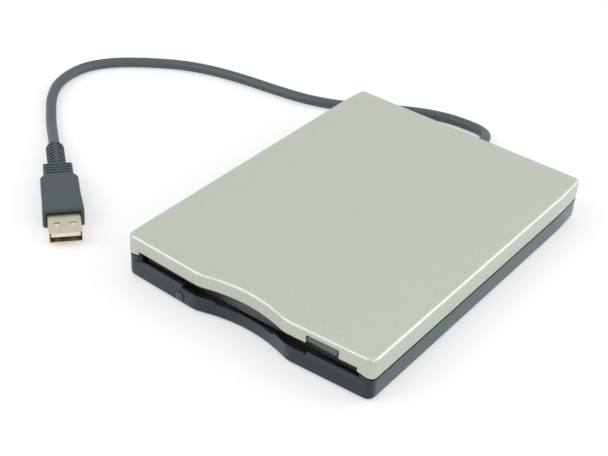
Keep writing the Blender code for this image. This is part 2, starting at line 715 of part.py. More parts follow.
def make_top_cover(finish):
    rings = [[(x, y, height) for x, y in case_outline()] for height in (INNER_FLOOR, CASE_TOP)]
    cover = loft("top_cover", rings, finish, weighted_rings=(1,))
    weighted_bevel(cover, TOP_FILLET, 3)
    cut(cover, *beyond_parting("below the parting line", PARTING_GAP, -OVERRUN))
    cut(cover, prism("cover hollow", inset(case_outline(), WALL), -OVERRUN, ROOF))
    mouth_low = (-SLOT_HALF, at(-OVERRUN), UNDERSIDE)
    mouth_high = (SLOT_HALF, at(LEDGE_BACK + OVERRUN), SLOT_TOP)
    cut(cover, block("cover mouth", mouth_low, mouth_high))
    notch = rounded_rectangle(
        BUTTON_LOW_X - CLEARANCE, BUTTON_HIGH_X + CLEARANCE,
        SLOT_TOP - 2 * NOTCH_CORNER, BUTTON_TOP + CLEARANCE, NOTCH_CORNER)
    cut(cover, prism("button notch", notch, at(-OVERRUN), at(LEDGE_BACK + OVERRUN), "Y"))
    for side, x in screw_places().items():
        y = at(SCREW_Y)
        join(cover, rod(f"cover boss {side}", (x, y, BOSS_TOP + CLEARANCE), (x, y, CASE_TOP - ROOF_THICK / 2),
                        BOSS_RADIUS, FACETS_MEDIUM))
        cut(cover, rod(f"cover screw hole {side}", (x, y, BOSS_TOP - OVERRUN), (x, y, SCREW_TIP + CLEARANCE),
                       SCREW_RADIUS + RUNNING_CLEARANCE, FACETS_SMALL))
    cut(cover, gland_hole())
    return cover


def make_feet(finish):
    for place, (x, y) in foot_places().items():
        top = UNDERSIDE + FOOT_SEAT
        foot = rod(f"foot_{place}", (x, y, 0.0), (x, y, top), FOOT_RADIUS, FACETS_MEDIUM, finish)
        set_origin(foot, (x, y, 0.0))


def make_case_screws(finish):
    for side, x in screw_places().items():
        low = UNDERSIDE + SCREW_RECESS
        neck = low + SCREW_HEAD_HEIGHT
        profile = [
            (0.0, SCREW_TIP - low), (SCREW_RADIUS, SCREW_TIP - low), (SCREW_RADIUS, neck - low),
            (SCREW_HEAD_RADIUS, neck - low), (SCREW_HEAD_RADIUS, 0.0), (0.0, 0.0)]
        screw = turned(f"case_screw_{side}", profile, FACETS_SMALL, finish)
        screw.location = (x, at(SCREW_Y), low)


def make_lamp_window(finish):
    start = (LAMP_X, at(front_edge(LAMP_X) - LAMP_PROUD), LAMP_Z)
    end = (LAMP_X, start[1] + LAMP_DEPTH, LAMP_Z)
    return rod("lamp_window", start, end, LAMP_RADIUS, FACETS_MEDIUM, finish)


def make_eject_button(finish):
    """Wedge with a sloped upper face; its origin is on the line of travel."""
    profile = [
        (at(BUTTON_FRONT), BUTTON_BOTTOM), (at(BUTTON_BACK), BUTTON_BOTTOM),
        (at(BUTTON_BACK), BUTTON_TOP), (at(BUTTON_FRONT + BUTTON_SLOPE), BUTTON_TOP),
        (at(BUTTON_FRONT), BUTTON_BOTTOM + BUTTON_NOSE_HEIGHT)]
    button = prism("eject_button", profile, BUTTON_LOW_X, BUTTON_HIGH_X, "X", finish)
    bevel = button.modifiers.new("Edge", "BEVEL")
    bevel.width = CLEARANCE
    bevel.segments = 2
    middle = (BUTTON_LOW_X + BUTTON_HIGH_X) / 2
    return set_origin(button, (middle, at(BUTTON_FRONT), BUTTON_BOTTOM))


def make_eject_slide(finish):
    """Folded plate with slanted slots that drive the cradle's pins."""
    top = SLIDE_PLATE + SHEET
    inner = SLIDE_HALF - SHEET
    profile = [
        (-SLIDE_HALF, top), (-SLIDE_HALF, SLIDE_FLANGE_LOW), (-inner, SLIDE_FLANGE_LOW),
        (-inner, SLIDE_PLATE), (inner, SLIDE_PLATE), (inner, SLIDE_FLANGE_LOW),
        (SLIDE_HALF, SLIDE_FLANGE_LOW), (SLIDE_HALF, top)]
    slide = prism("eject_slide", profile, at(SLIDE_FRONT), at(SLIDE_REAR), "Y", finish)
    tab_low = (BUTTON_LOW_X + TAB_MARGIN, at(BUTTON_BACK + CLEARANCE), SLIDE_PLATE)
    tab_high = (BUTTON_HIGH_X - TAB_MARGIN, at(SLIDE_FRONT + OVERRUN), top)
    join(slide, block("slide tab", tab_low, tab_high))
    window_low = (-WINDOW_HALF, at(WINDOW_FRONT), SLIDE_PLATE - OVERRUN)
    window_high = (WINDOW_HALF, at(SLIDE_REAR + OVERRUN), CASE_TOP)
    cut(slide, block("slide window", window_low, window_high))
    for name, y in (("front", FRONT_PIN_Y), ("rear", REAR_PIN_Y)):
        slot = stadium((at(y), PIN_Z), (at(y + TRAVEL), PIN_Z - DROP), PIN_RADIUS + CLEARANCE)
        cut(slide, across(f"slanted slot {name}", slot))
    return set_origin(slide, (0.0, at(SLIDE_FRONT), SLIDE_PLATE))


def make_disk_cradle(finish):
    """Folded channel with a shelf under each edge of the disk and four pins."""
    top = CRADLE_ROOF + SHEET
    low = SHELF_TOP - SHEET
    inner = CRADLE_HALF - SHEET
    shelf = CRADLE_HALF - SHELF_DEPTH
    half = [
        (CRADLE_HALF, top), (CRADLE_HALF, low), (shelf, low), (shelf, SHELF_TOP),
        (inner, SHELF_TOP), (inner, CRADLE_ROOF)]
    profile = half + [(-x, z) for x, z in reversed(half)]
    cradle = prism("disk_cradle", profile, at(CRADLE_FRONT), at(CRADLE_REAR), "Y", finish)
    window_low = (-WINDOW_HALF, at(WINDOW_FRONT), CRADLE_ROOF - OVERRUN)
    window_high = (WINDOW_HALF, at(CRADLE_REAR + OVERRUN), top + OVERRUN)
    cut(cradle, block("cradle window", window_low, window_high))
    pivot = (LEVER_PIVOT_X, at(LEVER_PIVOT_Y))
    margin = 2 * LEVER_PIN_RADIUS / LEVER_LENGTH
    slot = curved_slot(
        pivot, LEVER_LENGTH, radians(LEVER_REST_DEG) + margin,
        radians(LEVER_REST_DEG - LEVER_SWING_DEG) - margin, LEVER_PIN_RADIUS + CLEARANCE)
    cut(cradle, prism("lever slot", slot, CRADLE_ROOF - OVERRUN / 2, top + OVERRUN / 2))
    post_top = SLIDE_PLATE - CLEARANCE
    join(cradle, rod("lever post", (*pivot, CRADLE_ROOF + SHEET / 2), (*pivot, post_top), LEVER_POST_RADIUS))
    for name, y in (("front", FRONT_PIN_Y), ("rear", REAR_PIN_Y)):
        for side in (-1, 1):
            start = (side * (inner + SHEET / 2), at(y), PIN_Z)
            end = (side * CHASSIS_HALF, at(y), PIN_Z)
            join(cradle, rod(f"cradle pin {name} {side}", start, end, PIN_RADIUS))
    return set_origin(cradle, (0.0, at(CRADLE_FRONT), CRADLE_ROOF))


def make_chassis(finish):
    """Folded tray: floor, two walls with upright slots, ears for the flap and stops for the rod."""
    inner = CHASSIS_HALF - CHASSIS_WALL
    profile = [
        (-CHASSIS_HALF, CHASSIS_TOP), (-CHASSIS_HALF, CHASSIS_FLOOR), (CHASSIS_HALF, CHASSIS_FLOOR),
        (CHASSIS_HALF, CHASSIS_TOP), (inner, CHASSIS_TOP), (inner, CHASSIS_FLOOR_TOP),
        (-inner, CHASSIS_FLOOR_TOP), (-inner, CHASSIS_TOP)]
    chassis = prism("drive_chassis", profile, at(CHASSIS_FRONT), at(CHASSIS_REAR), "Y", finish)
    tongue_low = (TONGUE_LOW_X, at(CHASSIS_REAR - OVERRUN), CHASSIS_FLOOR)
    tongue_high = (TONGUE_HIGH_X, at(TONGUE_REAR), CHASSIS_FLOOR_TOP)
    join(chassis, block("chassis tongue", tongue_low, tongue_high))
    for side in (-1, 1):
        walls = sorted((side * inner, side * CHASSIS_HALF))
        ear_low = (walls[0], at(EAR_FRONT), EAR_LOW)
        ear_high = (walls[1], at(CHASSIS_FRONT + OVERRUN), CHASSIS_TOP)
        join(chassis, block(f"flap ear {side}", ear_low, ear_high))
    stop = 2 * ROD_RADIUS
    for name, low_y, high_y in (
            ("front", ROD_FRONT - CLEARANCE - SHEET, ROD_FRONT - CLEARANCE),
            ("rear", ROD_REAR + CLEARANCE, ROD_REAR + CLEARANCE + SHEET)):
        low = (ROD_X - stop, at(low_y), CHASSIS_FLOOR + SHEET / 2)
        high = (ROD_X + stop, at(high_y), ROD_Z + ROD_RADIUS)
        join(chassis, block(f"rod stop {name}", low, high))
    for name, y in (("front", FRONT_PIN_Y), ("rear", REAR_PIN_Y)):
        slot = stadium((at(y), PIN_Z), (at(y), PIN_Z - DROP), PIN_RADIUS + CLEARANCE)
        cut(chassis, across(f"upright slot {name}", slot))
    axis = at(FLAP_AXIS_Y)
    start = (-HALF_WIDTH - OVERRUN, axis, FLAP_AXIS_Z)
    end = (HALF_WIDTH + OVERRUN, axis, FLAP_AXIS_Z)
    cut(chassis, rod("flap pin holes", start, end, FLAP_PIN_RADIUS + RUNNING_CLEARANCE))
    return chassis


def make_slot_flap(finish):
    """Straight door hung from a barrel along its top, its origin on the hinge line."""
    axis_y = at(FLAP_AXIS_Y)
    face, back = at(FLAP_FACE), at(FLAP_FACE + FLAP_THICK)
    profile = [(face, FLAP_BOTTOM), (back, FLAP_BOTTOM)]
    profile += arc((axis_y, FLAP_AXIS_Z), FLAP_BARREL, -pi / 4, 5 * pi / 4)
    flap = prism("slot_flap", profile, -FLAP_HALF, FLAP_HALF, "X", finish)
    start = (-CHASSIS_HALF, axis_y, FLAP_AXIS_Z)
    end = (CHASSIS_HALF, axis_y, FLAP_AXIS_Z)
    join(flap, rod("flap pin", start, end, FLAP_PIN_RADIUS))
    return set_origin(flap, (0.0, axis_y, FLAP_AXIS_Z))


def make_shutter_lever(finish):
    """Flat lever on the cradle with a pin down into the disk's path."""
    low = CRADLE_ROOF + SHEET + CLEARANCE
    pivot = Vector((LEVER_PIVOT_X, at(LEVER_PIVOT_Y)))
    rest = radians(LEVER_REST_DEG)
    tip = pivot + LEVER_LENGTH * Vector((cos(rest), sin(rest)))
    outline = stadium(pivot, tip, LEVER_HALF_WIDTH)
    lever = prism("shutter_lever", outline, low, low + SHEET, "Z", finish)
    join(lever, rod("lever pin", (*tip, LEVER_PIN_LOW), (*tip, low + SHEET / 2), LEVER_PIN_RADIUS))
    hole = rod("lever hole", (*pivot, low - OVERRUN), (*pivot, low + OVERRUN),
               LEVER_POST_RADIUS + RUNNING_CLEARANCE)
    cut(lever, hole)
    return set_origin(lever, (*pivot, low))


def make_spindle(stator_finish, rotor_finish):
    plate_top = CHASSIS_FLOOR_TOP + CLEARANCE + SHEET
    base = CHASSIS_FLOOR_TOP + CLEARANCE
    stator = turned("spindle_stator", [
        (0.0, BEARING_TOP), (BEARING_RADIUS, BEARING_TOP), (BEARING_RADIUS, plate_top),
        (STATOR_RADIUS, plate_top), (STATOR_RADIUS, base), (0.0, base)], FACETS_LARGE, stator_finish)
    stator.location = (0.0, at(SPINDLE_Y), 0.0)
    bore = BEARING_RADIUS + RUNNING_CLEARANCE
    bore_top = BEARING_TOP + RUNNING_CLEARANCE
    rotor = turned("spindle_rotor", [
        (0.0, CENTRE_PIN_TOP), (CENTRE_PIN_RADIUS, CENTRE_PIN_TOP), (CENTRE_PIN_RADIUS, HUB_TOP),
        (HUB_RADIUS, HUB_TOP), (HUB_RADIUS, ROTOR_TOP), (ROTOR_RADIUS, ROTOR_TOP),
        (ROTOR_RADIUS, ROTOR_LOW), (bore, ROTOR_LOW), (bore, bore_top), (0.0, bore_top)],
        FACETS_LARGE, rotor_finish)
    rotor.location = (0.0, at(SPINDLE_Y), 0.0)
    pin_low = (DRIVE_PIN_AT, at(SPINDLE_Y), (ROTOR_TOP + HUB_TOP) / 2)
    pin_high = (DRIVE_PIN_AT, at(SPINDLE_Y), DRIVE_PIN_TOP)
    join(rotor, rod("drive pin", pin_low, pin_high, DRIVE_PIN_RADIUS))
    return stator, rotor


def make_head_carriage(finish):
    """Low plate under the disk with the lower head, a bore for the rod and an upright behind."""
    low = CHASSIS_FLOOR_TOP + CLEARANCE
    plate_low = (CARRIAGE_LOW_X, at(UPRIGHT_FRONT - CARRIAGE_NECK), low)
    plate_high = (CARRIAGE_HIGH_X, at(CARRIAGE_REAR), CARRIAGE_TOP)
    carriage = block("head_carriage", plate_low, plate_high, finish)
    join(carriage, block(
        "carriage tongue", (CARRIAGE_LOW_X, at(CARRIAGE_FRONT), low),
        (CARRIAGE_NECK, at(CARRIAGE_REAR - CARRIAGE_NECK), CARRIAGE_TOP)))
    join(carriage, block(
        "carriage upright", (UPRIGHT_LOW_X, at(UPRIGHT_FRONT), low + SHEET),
        (CARRIAGE_HIGH_X, at(CARRIAGE_REAR), UPRIGHT_TOP)))
    join(carriage, block(
        "lower head", (-HEAD_HALF, at(HEAD_Y - HEAD_HALF), low + SHEET),
        (HEAD_HALF, at(HEAD_Y + HEAD_HALF), LOWER_HEAD_TOP)))
    follower_y = at((UPRIGHT_FRONT + CARRIAGE_REAR) / 2)
    follower_end = SCREW_SHAFT_X - LEAD_RADIUS - CLEARANCE
    join(carriage, rod(
        "follower", (CARRIAGE_HIGH_X - FOLLOWER_RADIUS, follower_y, MOTOR_Z),
        (follower_end, follower_y, MOTOR_Z), FOLLOWER_RADIUS))
    cut(carriage, rod(
        "rod bore", (ROD_X, at(CARRIAGE_FRONT - OVERRUN), ROD_Z), (ROD_X, at(CARRIAGE_REAR + OVERRUN), ROD_Z),
        ROD_RADIUS + RUNNING_CLEARANCE))
    return set_origin(carriage, (0.0, at(HEAD_Y), low))


def make_upper_head_arm(finish):
    """Stepped arm over the disk with the upper head, hinged along the front of the upright."""
    low = UPRIGHT_TOP + CLEARANCE
    step_end = ARM_STEP_Y + ARM_STEP
    profile = [
        (at(ARM_FRONT), low + ARM_STEP), (at(ARM_STEP_Y), low + ARM_STEP), (at(step_end), low),
        (at(CARRIAGE_REAR), low), (at(CARRIAGE_REAR), low + ARM_THICK),
        (at(step_end + ARM_THICK / 2), low + ARM_THICK),
        (at(ARM_STEP_Y + ARM_THICK / 2), low + ARM_STEP + ARM_THICK),
        (at(ARM_FRONT), low + ARM_STEP + ARM_THICK)]
    arm = prism("upper_head_arm", profile, -ARM_HALF, ARM_HALF, "X", finish)
    join(arm, block(
        "upper head", (-HEAD_HALF, at(HEAD_Y - HEAD_HALF), ARM_HEAD_LOW),
        (HEAD_HALF, at(HEAD_Y + HEAD_HALF), low + ARM_STEP + ARM_THICK / 2)))
    return set_origin(arm, (0.0, at(UPRIGHT_FRONT), UPRIGHT_TOP + CLEARANCE / 2))


def make_guide_rod(finish):
    start, end = (ROD_X, at(ROD_FRONT), ROD_Z), (ROD_X, at(ROD_REAR), ROD_Z)
    return rod("guide_rod", start, end, ROD_RADIUS, FACETS_SMALL, finish)


def make_lead_screw(finish):
    """Stepped shaft of the stepper motor, its origin on its axis."""
    rear = BRACKET_Y - SHEET - CLEARANCE
    length = rear - LEAD_FRONT
    tip = LEAD_TIP_LENGTH + length
    profile = [
        (0.0, tip), (LEAD_TIP_RADIUS, tip), (LEAD_TIP_RADIUS, length), (LEAD_RADIUS, length),
        (LEAD_RADIUS, 0.0), (LEAD_TIP_RADIUS, 0.0), (LEAD_TIP_RADIUS, -LEAD_TIP_LENGTH),
        (0.0, -LEAD_TIP_LENGTH)]
    screw = turned("lead_screw", profile, FACETS_SMALL, finish)
    screw.rotation_euler = (pi / 2, 0.0, 0.0)
    screw.location = (SCREW_SHAFT_X, at(rear), MOTOR_Z)
    return screw


def make_stepper_motor(finish):
    """Motor can with the folded bracket that carries both ends of the screw."""
    base = CHASSIS_FLOOR_TOP + CLEARANCE
    x_low, x_high = CARRIAGE_HIGH_X + CLEARANCE, SCREW_SHAFT_X + BRACKET_HALF
    ear_back = LEAD_FRONT - CLEARANCE
    plate_front = BRACKET_Y - SHEET
    motor = block("stepper_motor", (x_low, at(plate_front), base), (x_high, at(BRACKET_Y), BRACKET_HIGH), finish)
    can_start = (SCREW_SHAFT_X, at(BRACKET_Y - SHEET / 2), MOTOR_Z)
    can_end = (SCREW_SHAFT_X, at(BRACKET_Y + MOTOR_LENGTH), MOTOR_Z)
    join(motor, rod("motor can", can_start, can_end, MOTOR_RADIUS, FACETS_MEDIUM))
    strip_low = (x_low, at(ear_back - SHEET), base)
    strip_high = (x_high, at(BRACKET_Y), base + SHEET)
    join(motor, block("bracket strip", strip_low, strip_high))
    ear_low = (SCREW_SHAFT_X - LEAD_RADIUS - SHEET, at(ear_back - SHEET), base)
    ear_high = (x_high, at(ear_back), BRACKET_EAR_TOP)
    join(motor, block("bracket ear", ear_low, ear_high))
    hole_start = (SCREW_SHAFT_X, at(ear_back - OVERRUN), MOTOR_Z)
    hole_end = (SCREW_SHAFT_X, at(BRACKET_Y + LEAD_TIP_LENGTH), MOTOR_Z)
    cut(motor, rod("shaft holes", hole_start, hole_end, LEAD_TIP_RADIUS + RUNNING_CLEARANCE))
    return motor


def make_main_board(finish):
    low = (-MAIN_BOARD_HALF, at(MAIN_BOARD_FRONT), BOARD_LOW)
    high = (MAIN_BOARD_HALF, at(MAIN_BOARD_REAR), BOARD_TOP)
    board = block("main_board", low, high, finish)
    middle = (MAIN_BOARD_FRONT + MAIN_BOARD_REAR) / 2
    for name, x, size in (("main", MAIN_CHIP_X, MAIN_CHIP_SIZE), ("small", SMALL_CHIP_X, SMALL_CHIP_SIZE)):
        chip_low = (x - size / 2, at(middle - size / 2), BOARD_TOP - BOARD_THICK / 2)
        chip_high = (x + size / 2, at(middle + size / 2), BOARD_TOP + CHIP_HEIGHT)
        join(board, block(f"{name} chip", chip_low, chip_high))
    return board


def make_switches(body_finish, plunger_finish):
    """Three sensor switches on the main board, each with a sprung plunger."""
    low = BOARD_TOP + CLEARANCE
    top = low + SWITCH_HEIGHT
    edge = MAIN_BOARD_HALF - SWITCH_INSET
    places = {"write_protect": -edge, "disk_in": SWITCH_PITCH - edge, "density": edge}
    for name, x in places.items():
        y = at(SWITCH_Y)
        corner = Vector((SWITCH_HALF, SWITCH_HALF, 0.0))
        centre = Vector((x, y, 0.0))
        body = block(f"{name}_switch", centre - corner + Vector((0, 0, low)),
                     centre + corner + Vector((0, 0, top)), body_finish)
        plunger_low = top - PLUNGER_SEAT
        bore_low = plunger_low - PLUNGER_TRAVEL - RUNNING_CLEARANCE
        cut(body, rod(f"{name} bore", (x, y, bore_low), (x, y, top + OVERRUN),
                      PLUNGER_RADIUS + RUNNING_CLEARANCE))
        plunger = rod(f"{name}_plunger", (x, y, plunger_low), (x, y, PLUNGER_TOP),
                      PLUNGER_RADIUS, FACETS_SMALL, plunger_finish)
        set_origin(plunger, (x, y, plunger_low))


def make_converter_board(finish):
    low = (CONVERTER_LOW_X, at(CONVERTER_FRONT), BOARD_LOW)
    high = (CONVERTER_HIGH_X, at(CONVERTER_REAR), BOARD_TOP)
    board = block("converter_board", low, high, finish)
    x = (CONVERTER_LOW_X + CONVERTER_HIGH_X) / 2
    y = (CONVERTER_FRONT + CONVERTER_REAR) / 2
    half = SMALL_CHIP_SIZE / 2
    join(board, block("converter chip", (x - half, at(y - half), BOARD_TOP - BOARD_THICK / 2),
                      (x + half, at(y + half), BOARD_TOP + CHIP_HEIGHT)))
    join(board, block(
        "lead connector", (CONVERTER_HIGH_X - CONNECTOR_WIDTH, at(CONVERTER_REAR - CONNECTOR_DEPTH),
                           BOARD_TOP - BOARD_THICK / 2),
        (CONVERTER_HIGH_X, at(CONVERTER_REAR), BOARD_TOP + CONNECTOR_DEPTH)))
    return board


def make_flat_cable(finish):
    low = (CABLE_X - CABLE_HALF, at(MAIN_BOARD_REAR + CLEARANCE), BOARD_LOW)
    high = (CABLE_X + CABLE_HALF, at(CONVERTER_FRONT - CLEARANCE), BOARD_LOW + CABLE_THICK)
    return block("flat_cable", low, high, finish)


def make_cord_gland(finish):
    """Moulded strain relief: flange inside the wall, neck through it, tapered sleeve outside."""
    inside = CASE_DEPTH - WALL - CLEARANCE
    outside = CASE_DEPTH + CLEARANCE
    profile = [(0.0, 0.0), (GLAND_FLANGE_RADIUS, 0.0), (GLAND_FLANGE_RADIUS, -GLAND_FLANGE_THICK)]
    neck_end = GLAND_FLANGE_THICK + outside - inside
    profile += [(GLAND_NECK_RADIUS, -GLAND_FLANGE_THICK), (GLAND_NECK_RADIUS, -neck_end)]
    pitch = GLAND_LENGTH / (2 * GLAND_GROOVES + 1)
    for index in range(2 * GLAND_GROOVES + 1):
        depth = GLAND_GROOVE_DEPTH if index % 2 else 0.0
        for end in (index, index + 1):
            share = end / (2 * GLAND_GROOVES + 1)
            radius = GLAND_ROOT_RADIUS + (GLAND_TIP_RADIUS - GLAND_ROOT_RADIUS) * share - depth
            profile.append((radius, -neck_end - pitch * end))
    profile.append((0.0, -neck_end - GLAND_LENGTH))
    gland = turned("cord_gland", profile, FACETS_MEDIUM, finish)
    gland.rotation_euler = (pi / 2, 0.0, 0.0)
    gland.location = (0.0, at(inside - GLAND_FLANGE_THICK), CORD_EXIT_Z)
    return gland


def plug_point(along, height=0.0):
    """World place of a point on the plug's axis, given from its mouth."""
    turn = radians(PLUG_TURN_DEG)
    return Vector((PLUG_NOSE_X - sin(turn) * along, behind(PLUG_NOSE_Y) + cos(turn) * along, height))


def smooth_route(points, step):
    """Even steps along a Catmull-Rom curve through the points."""
    padded = [2 * points[0] - points[1]] + points + [2 * points[-1] - points[-2]]
    dense = []
    for a, b, c, d in zip(padded, padded[1:], padded[2:], padded[3:]):
        for index in range(20):
            t = index / 20
            dense.append(0.5 * (
                2 * b + (c - a) * t + (2 * a - 5 * b + 4 * c - d) * t ** 2 + (3 * b - a - 3 * c + d) * t ** 3))
    dense.append(points[-1])
    lengths = [0.0]
    for before, after in zip(dense, dense[1:]):
        lengths.append(lengths[-1] + (after - before).length)
    count = round(lengths[-1] / step)
    even, index = [], 0
    for number in range(count + 1):
        goal = lengths[-1] * number / count
        while index < len(dense) - 2 and lengths[index + 1] < goal:
            index += 1
        share = (goal - lengths[index]) / (lengths[index + 1] - lengths[index])
        even.append(dense[index].lerp(dense[index + 1], share))
    return even, lengths[-1]


def make_cord(finish):
    radius = CORD_DIAMETER / 2
    points = []
    for index, (x, y) in enumerate(CORD_ROUTE):
        lift = CORD_LIFT_SHARES[index] if index < len(CORD_LIFT_SHARES) else 0.0
        points.append(Vector((x * MM, behind(y * MM), radius + (CORD_EXIT_Z - radius) * lift)))
    plug_length = SHELL_LENGTH + GRIP_LENGTH + NECK_LENGTH + BOOT_LENGTH
    end = plug_length + CLEARANCE
    points.append(plug_point(end + CORD_RISE_LENGTH, radius))
    points.append(plug_point(end + CORD_RISE_LENGTH / 2, (radius + PLUG_AXIS_Z) / 2))
    points.append(plug_point(end, PLUG_AXIS_Z))
    route, length = smooth_route(points, CORD_DIAMETER * CORD_STEP_SHARE)
    route.insert(1, route[0] + Vector((0.0, CORD_DIAMETER / 2, 0.0)))
    print("cord length", round(length / MM), "mm in", len(route), "points")
    curve = bpy.data.curves.new("usb_cord", "CURVE")
    curve.dimensions = "3D"
    curve.bevel_depth = radius
    curve.bevel_resolution = 2
    curve.use_fill_caps = True
    spline = curve.splines.new("POLY")
    spline.points.add(len(route) - 1)
    for point, place in zip(spline.points, route):
        point.co = (*place, 1.0)
    cord = bpy.data.objects.new("usb_cord", curve)
    curve.materials.append(finish)
    PARTS.objects.link(cord)
    return cord


def make_plug(grip_finish, shell_finish, tongue_finish):
    """Plug lying on the table; every piece is parented to an empty at its mouth."""
    pose = bpy.data.objects.new("plug_pose", None)
    PARTS.objects.link(pose)
    pose.location = (PLUG_NOSE_X, behind(PLUG_NOSE_Y), PLUG_AXIS_Z)
    pose.rotation_euler = (0.0, 0.0, radians(PLUG_TURN_DEG))
    before = set(bpy.data.objects)

    half, tall = SHELL_WIDTH / 2, SHELL_HEIGHT / 2
    grip_back = SHELL_LENGTH + GRIP_LENGTH
    neck_back = grip_back + NECK_LENGTH
    seat = SHELL_LENGTH + GRIP_LENGTH / 3
    outer = rounded_rectangle(-half, half, -tall, tall, SHELL_WALL)
    shell = prism("plug_shell", outer, 0.0, seat, "Y", shell_finish)
    mouth = rectangle(-half + SHELL_WALL, half - SHELL_WALL, -tall + SHELL_WALL, tall - SHELL_WALL)
    cut(shell, prism("shell mouth", mouth, -OVERRUN, seat - SHELL_WALL, "Y"))
    for side in (-1, 1):
        centre = side * SHELL_WINDOW_X
        low = (centre - SHELL_WINDOW / 2, SHELL_WINDOW_Y - SHELL_WINDOW / 2, -SHELL_HEIGHT)
        high = (centre + SHELL_WINDOW / 2, SHELL_WINDOW_Y + SHELL_WINDOW / 2, SHELL_HEIGHT)
        cut(shell, block(f"shell window {side}", low, high))

    inner = half - SHELL_WALL - CLEARANCE
    tongue_low = tall - SHELL_WALL - CLEARANCE - TONGUE_THICK
    block("plug_tongue", (-inner, TONGUE_SETBACK, tongue_low),
          (inner, seat - SHELL_WALL - CLEARANCE, tongue_low + TONGUE_THICK), tongue_finish)

    wide, narrow = GRIP_WIDTH / 2, NECK_WIDTH / 2
    waist = wide - GRIP_WAIST
    outline = [
        (wide, SHELL_LENGTH), (waist, SHELL_LENGTH + GRIP_LENGTH / 2),
        (waist, grip_back - NECK_BLEND), (narrow, grip_back), (narrow, neck_back)]
    outline += [(-x, y) for x, y in reversed(outline)]
    grip = prism("plug_grip", outline, -GRIP_HEIGHT / 2, GRIP_HEIGHT / 2, "Z", grip_finish)
    edge = grip.modifiers.new("Edge", "BEVEL")
    edge.width = GRIP_BEVEL
    edge.segments = 2
    slimmer = (GRIP_HEIGHT - NECK_HEIGHT) / 2
    for side in (-1, 1):
        low_z, high_z = sorted((side * NECK_HEIGHT / 2, side * (GRIP_HEIGHT / 2 + slimmer)))
        cut(grip, block(f"neck relief {side}", (-GRIP_WIDTH, grip_back, low_z), (GRIP_WIDTH, neck_back + OVERRUN, high_z)))
    groove = NECK_LENGTH / (2 * NECK_GROOVES + 1)
    top = NECK_HEIGHT / 2
    for index in range(NECK_GROOVES):
        y = grip_back + groove * (2 * index + 1)
        cut(grip, block(f"neck groove {index}", (-narrow + GRIP_BEVEL, y, top - NECK_GROOVE_DEPTH),
                        (narrow - GRIP_BEVEL, y + groove, top + OVERRUN)))
    socket = rectangle(-half - CLEARANCE, half + CLEARANCE, -tall - CLEARANCE, tall + CLEARANCE)
    cut(grip, prism("shell socket", socket, SHELL_LENGTH - OVERRUN, seat + CLEARANCE, "Y"))

    boot_front = neck_back + CLEARANCE
    slot = BOOT_LENGTH / (2 * BOOT_SLOTS + 1)
    profile = [(0.0, BOOT_LENGTH - CLEARANCE)]
    for index in reversed(range(2 * BOOT_SLOTS + 1)):
        radius = BOOT_CORE_RADIUS if index % 2 else BOOT_RADIUS
        top_end = min(slot * (index + 1), BOOT_LENGTH - CLEARANCE)
        profile += [(radius, top_end), (radius, slot * index)]
    profile.append((0.0, 0.0))
    boot = turned("plug_boot", profile, FACETS_MEDIUM, grip_finish)
    boot.rotation_euler = (-pi / 2, 0.0, 0.0)
    boot.location = (0.0, boot_front, 0.0)
    spine_reach = sqrt(BOOT_RADIUS ** 2 - BOOT_SPINE_HALF ** 2) - RUNNING_CLEARANCE
    join(boot, block("boot spine", (-BOOT_SPINE_HALF, boot_front + slot / 2, -spine_reach),
                     (BOOT_SPINE_HALF, boot_front + BOOT_LENGTH - slot, spine_reach)))

    for made in set(bpy.data.objects) - before:
        made.parent = pose


def main():
    silver = material("silver paint", "C4C9BF", 0.35, 0.4)
    dark = material("dark blue-grey plastic", "3C4048", 0.5)
    button_grey = material("grey button plastic", "4A4C49", 0.45)
    lamp = material("smoked lamp window", "4A4F55", 0.2)
    rubber = material("black rubber", "1E1F21", 0.8)
    steel = material("zinc plated steel", "A9ABA6", 0.3, 1.0)
    plated = material("plated screw steel", "8C8C88", 0.35, 1.0)
    board = material("green board", "1F5A38", 0.5)
    black = material("black plastic", "202124", 0.5)
    cable = material("white flat cable", "D9D9D2", 0.5)
    lead = material("grey lead jacket", "41474D", 0.55)
    nickel = material("nickel plate", "B8B49C", 0.3, 1.0)
    white = material("white insulator", "E6E4DC", 0.5)

    make_top_cover(silver)
    make_bottom_case(dark)
    make_feet(rubber)
    make_case_screws(plated)
    make_lamp_window(lamp)
    make_eject_button(button_grey)
    make_eject_slide(steel)
    make_disk_cradle(steel)
    make_chassis(steel)
    make_slot_flap(dark)
    make_shutter_lever(steel)
    make_spindle(board, steel)
    make_head_carriage(black)
    make_upper_head_arm(steel)
    make_guide_rod(plated)
    make_lead_screw(plated)
    make_stepper_motor(steel)
    make_main_board(board)
    make_switches(black, white)
    make_converter_board(board)
    make_flat_cable(cable)
    make_cord_gland(lead)
    make_cord(lead)
    make_plug(lead, nickel, white)


for old in list(bpy.data.objects):
    bpy.data.objects.remove(old)
PARTS = collection("External floppy drive")
CUTTERS = collection("Cutters", hidden=True)
main()
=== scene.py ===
"""External floppy disk drive with its lead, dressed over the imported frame.

The frame gives every place and size. This file gives the finishes, the fine forms, the light
and the camera. Lengths are in metres.
"""
import json
from math import cos, pi, radians, sin

import bmesh
import bpy
from bpy.props import FloatProperty, FloatVectorProperty, PointerProperty, StringProperty
from mathutils import Matrix, Vector

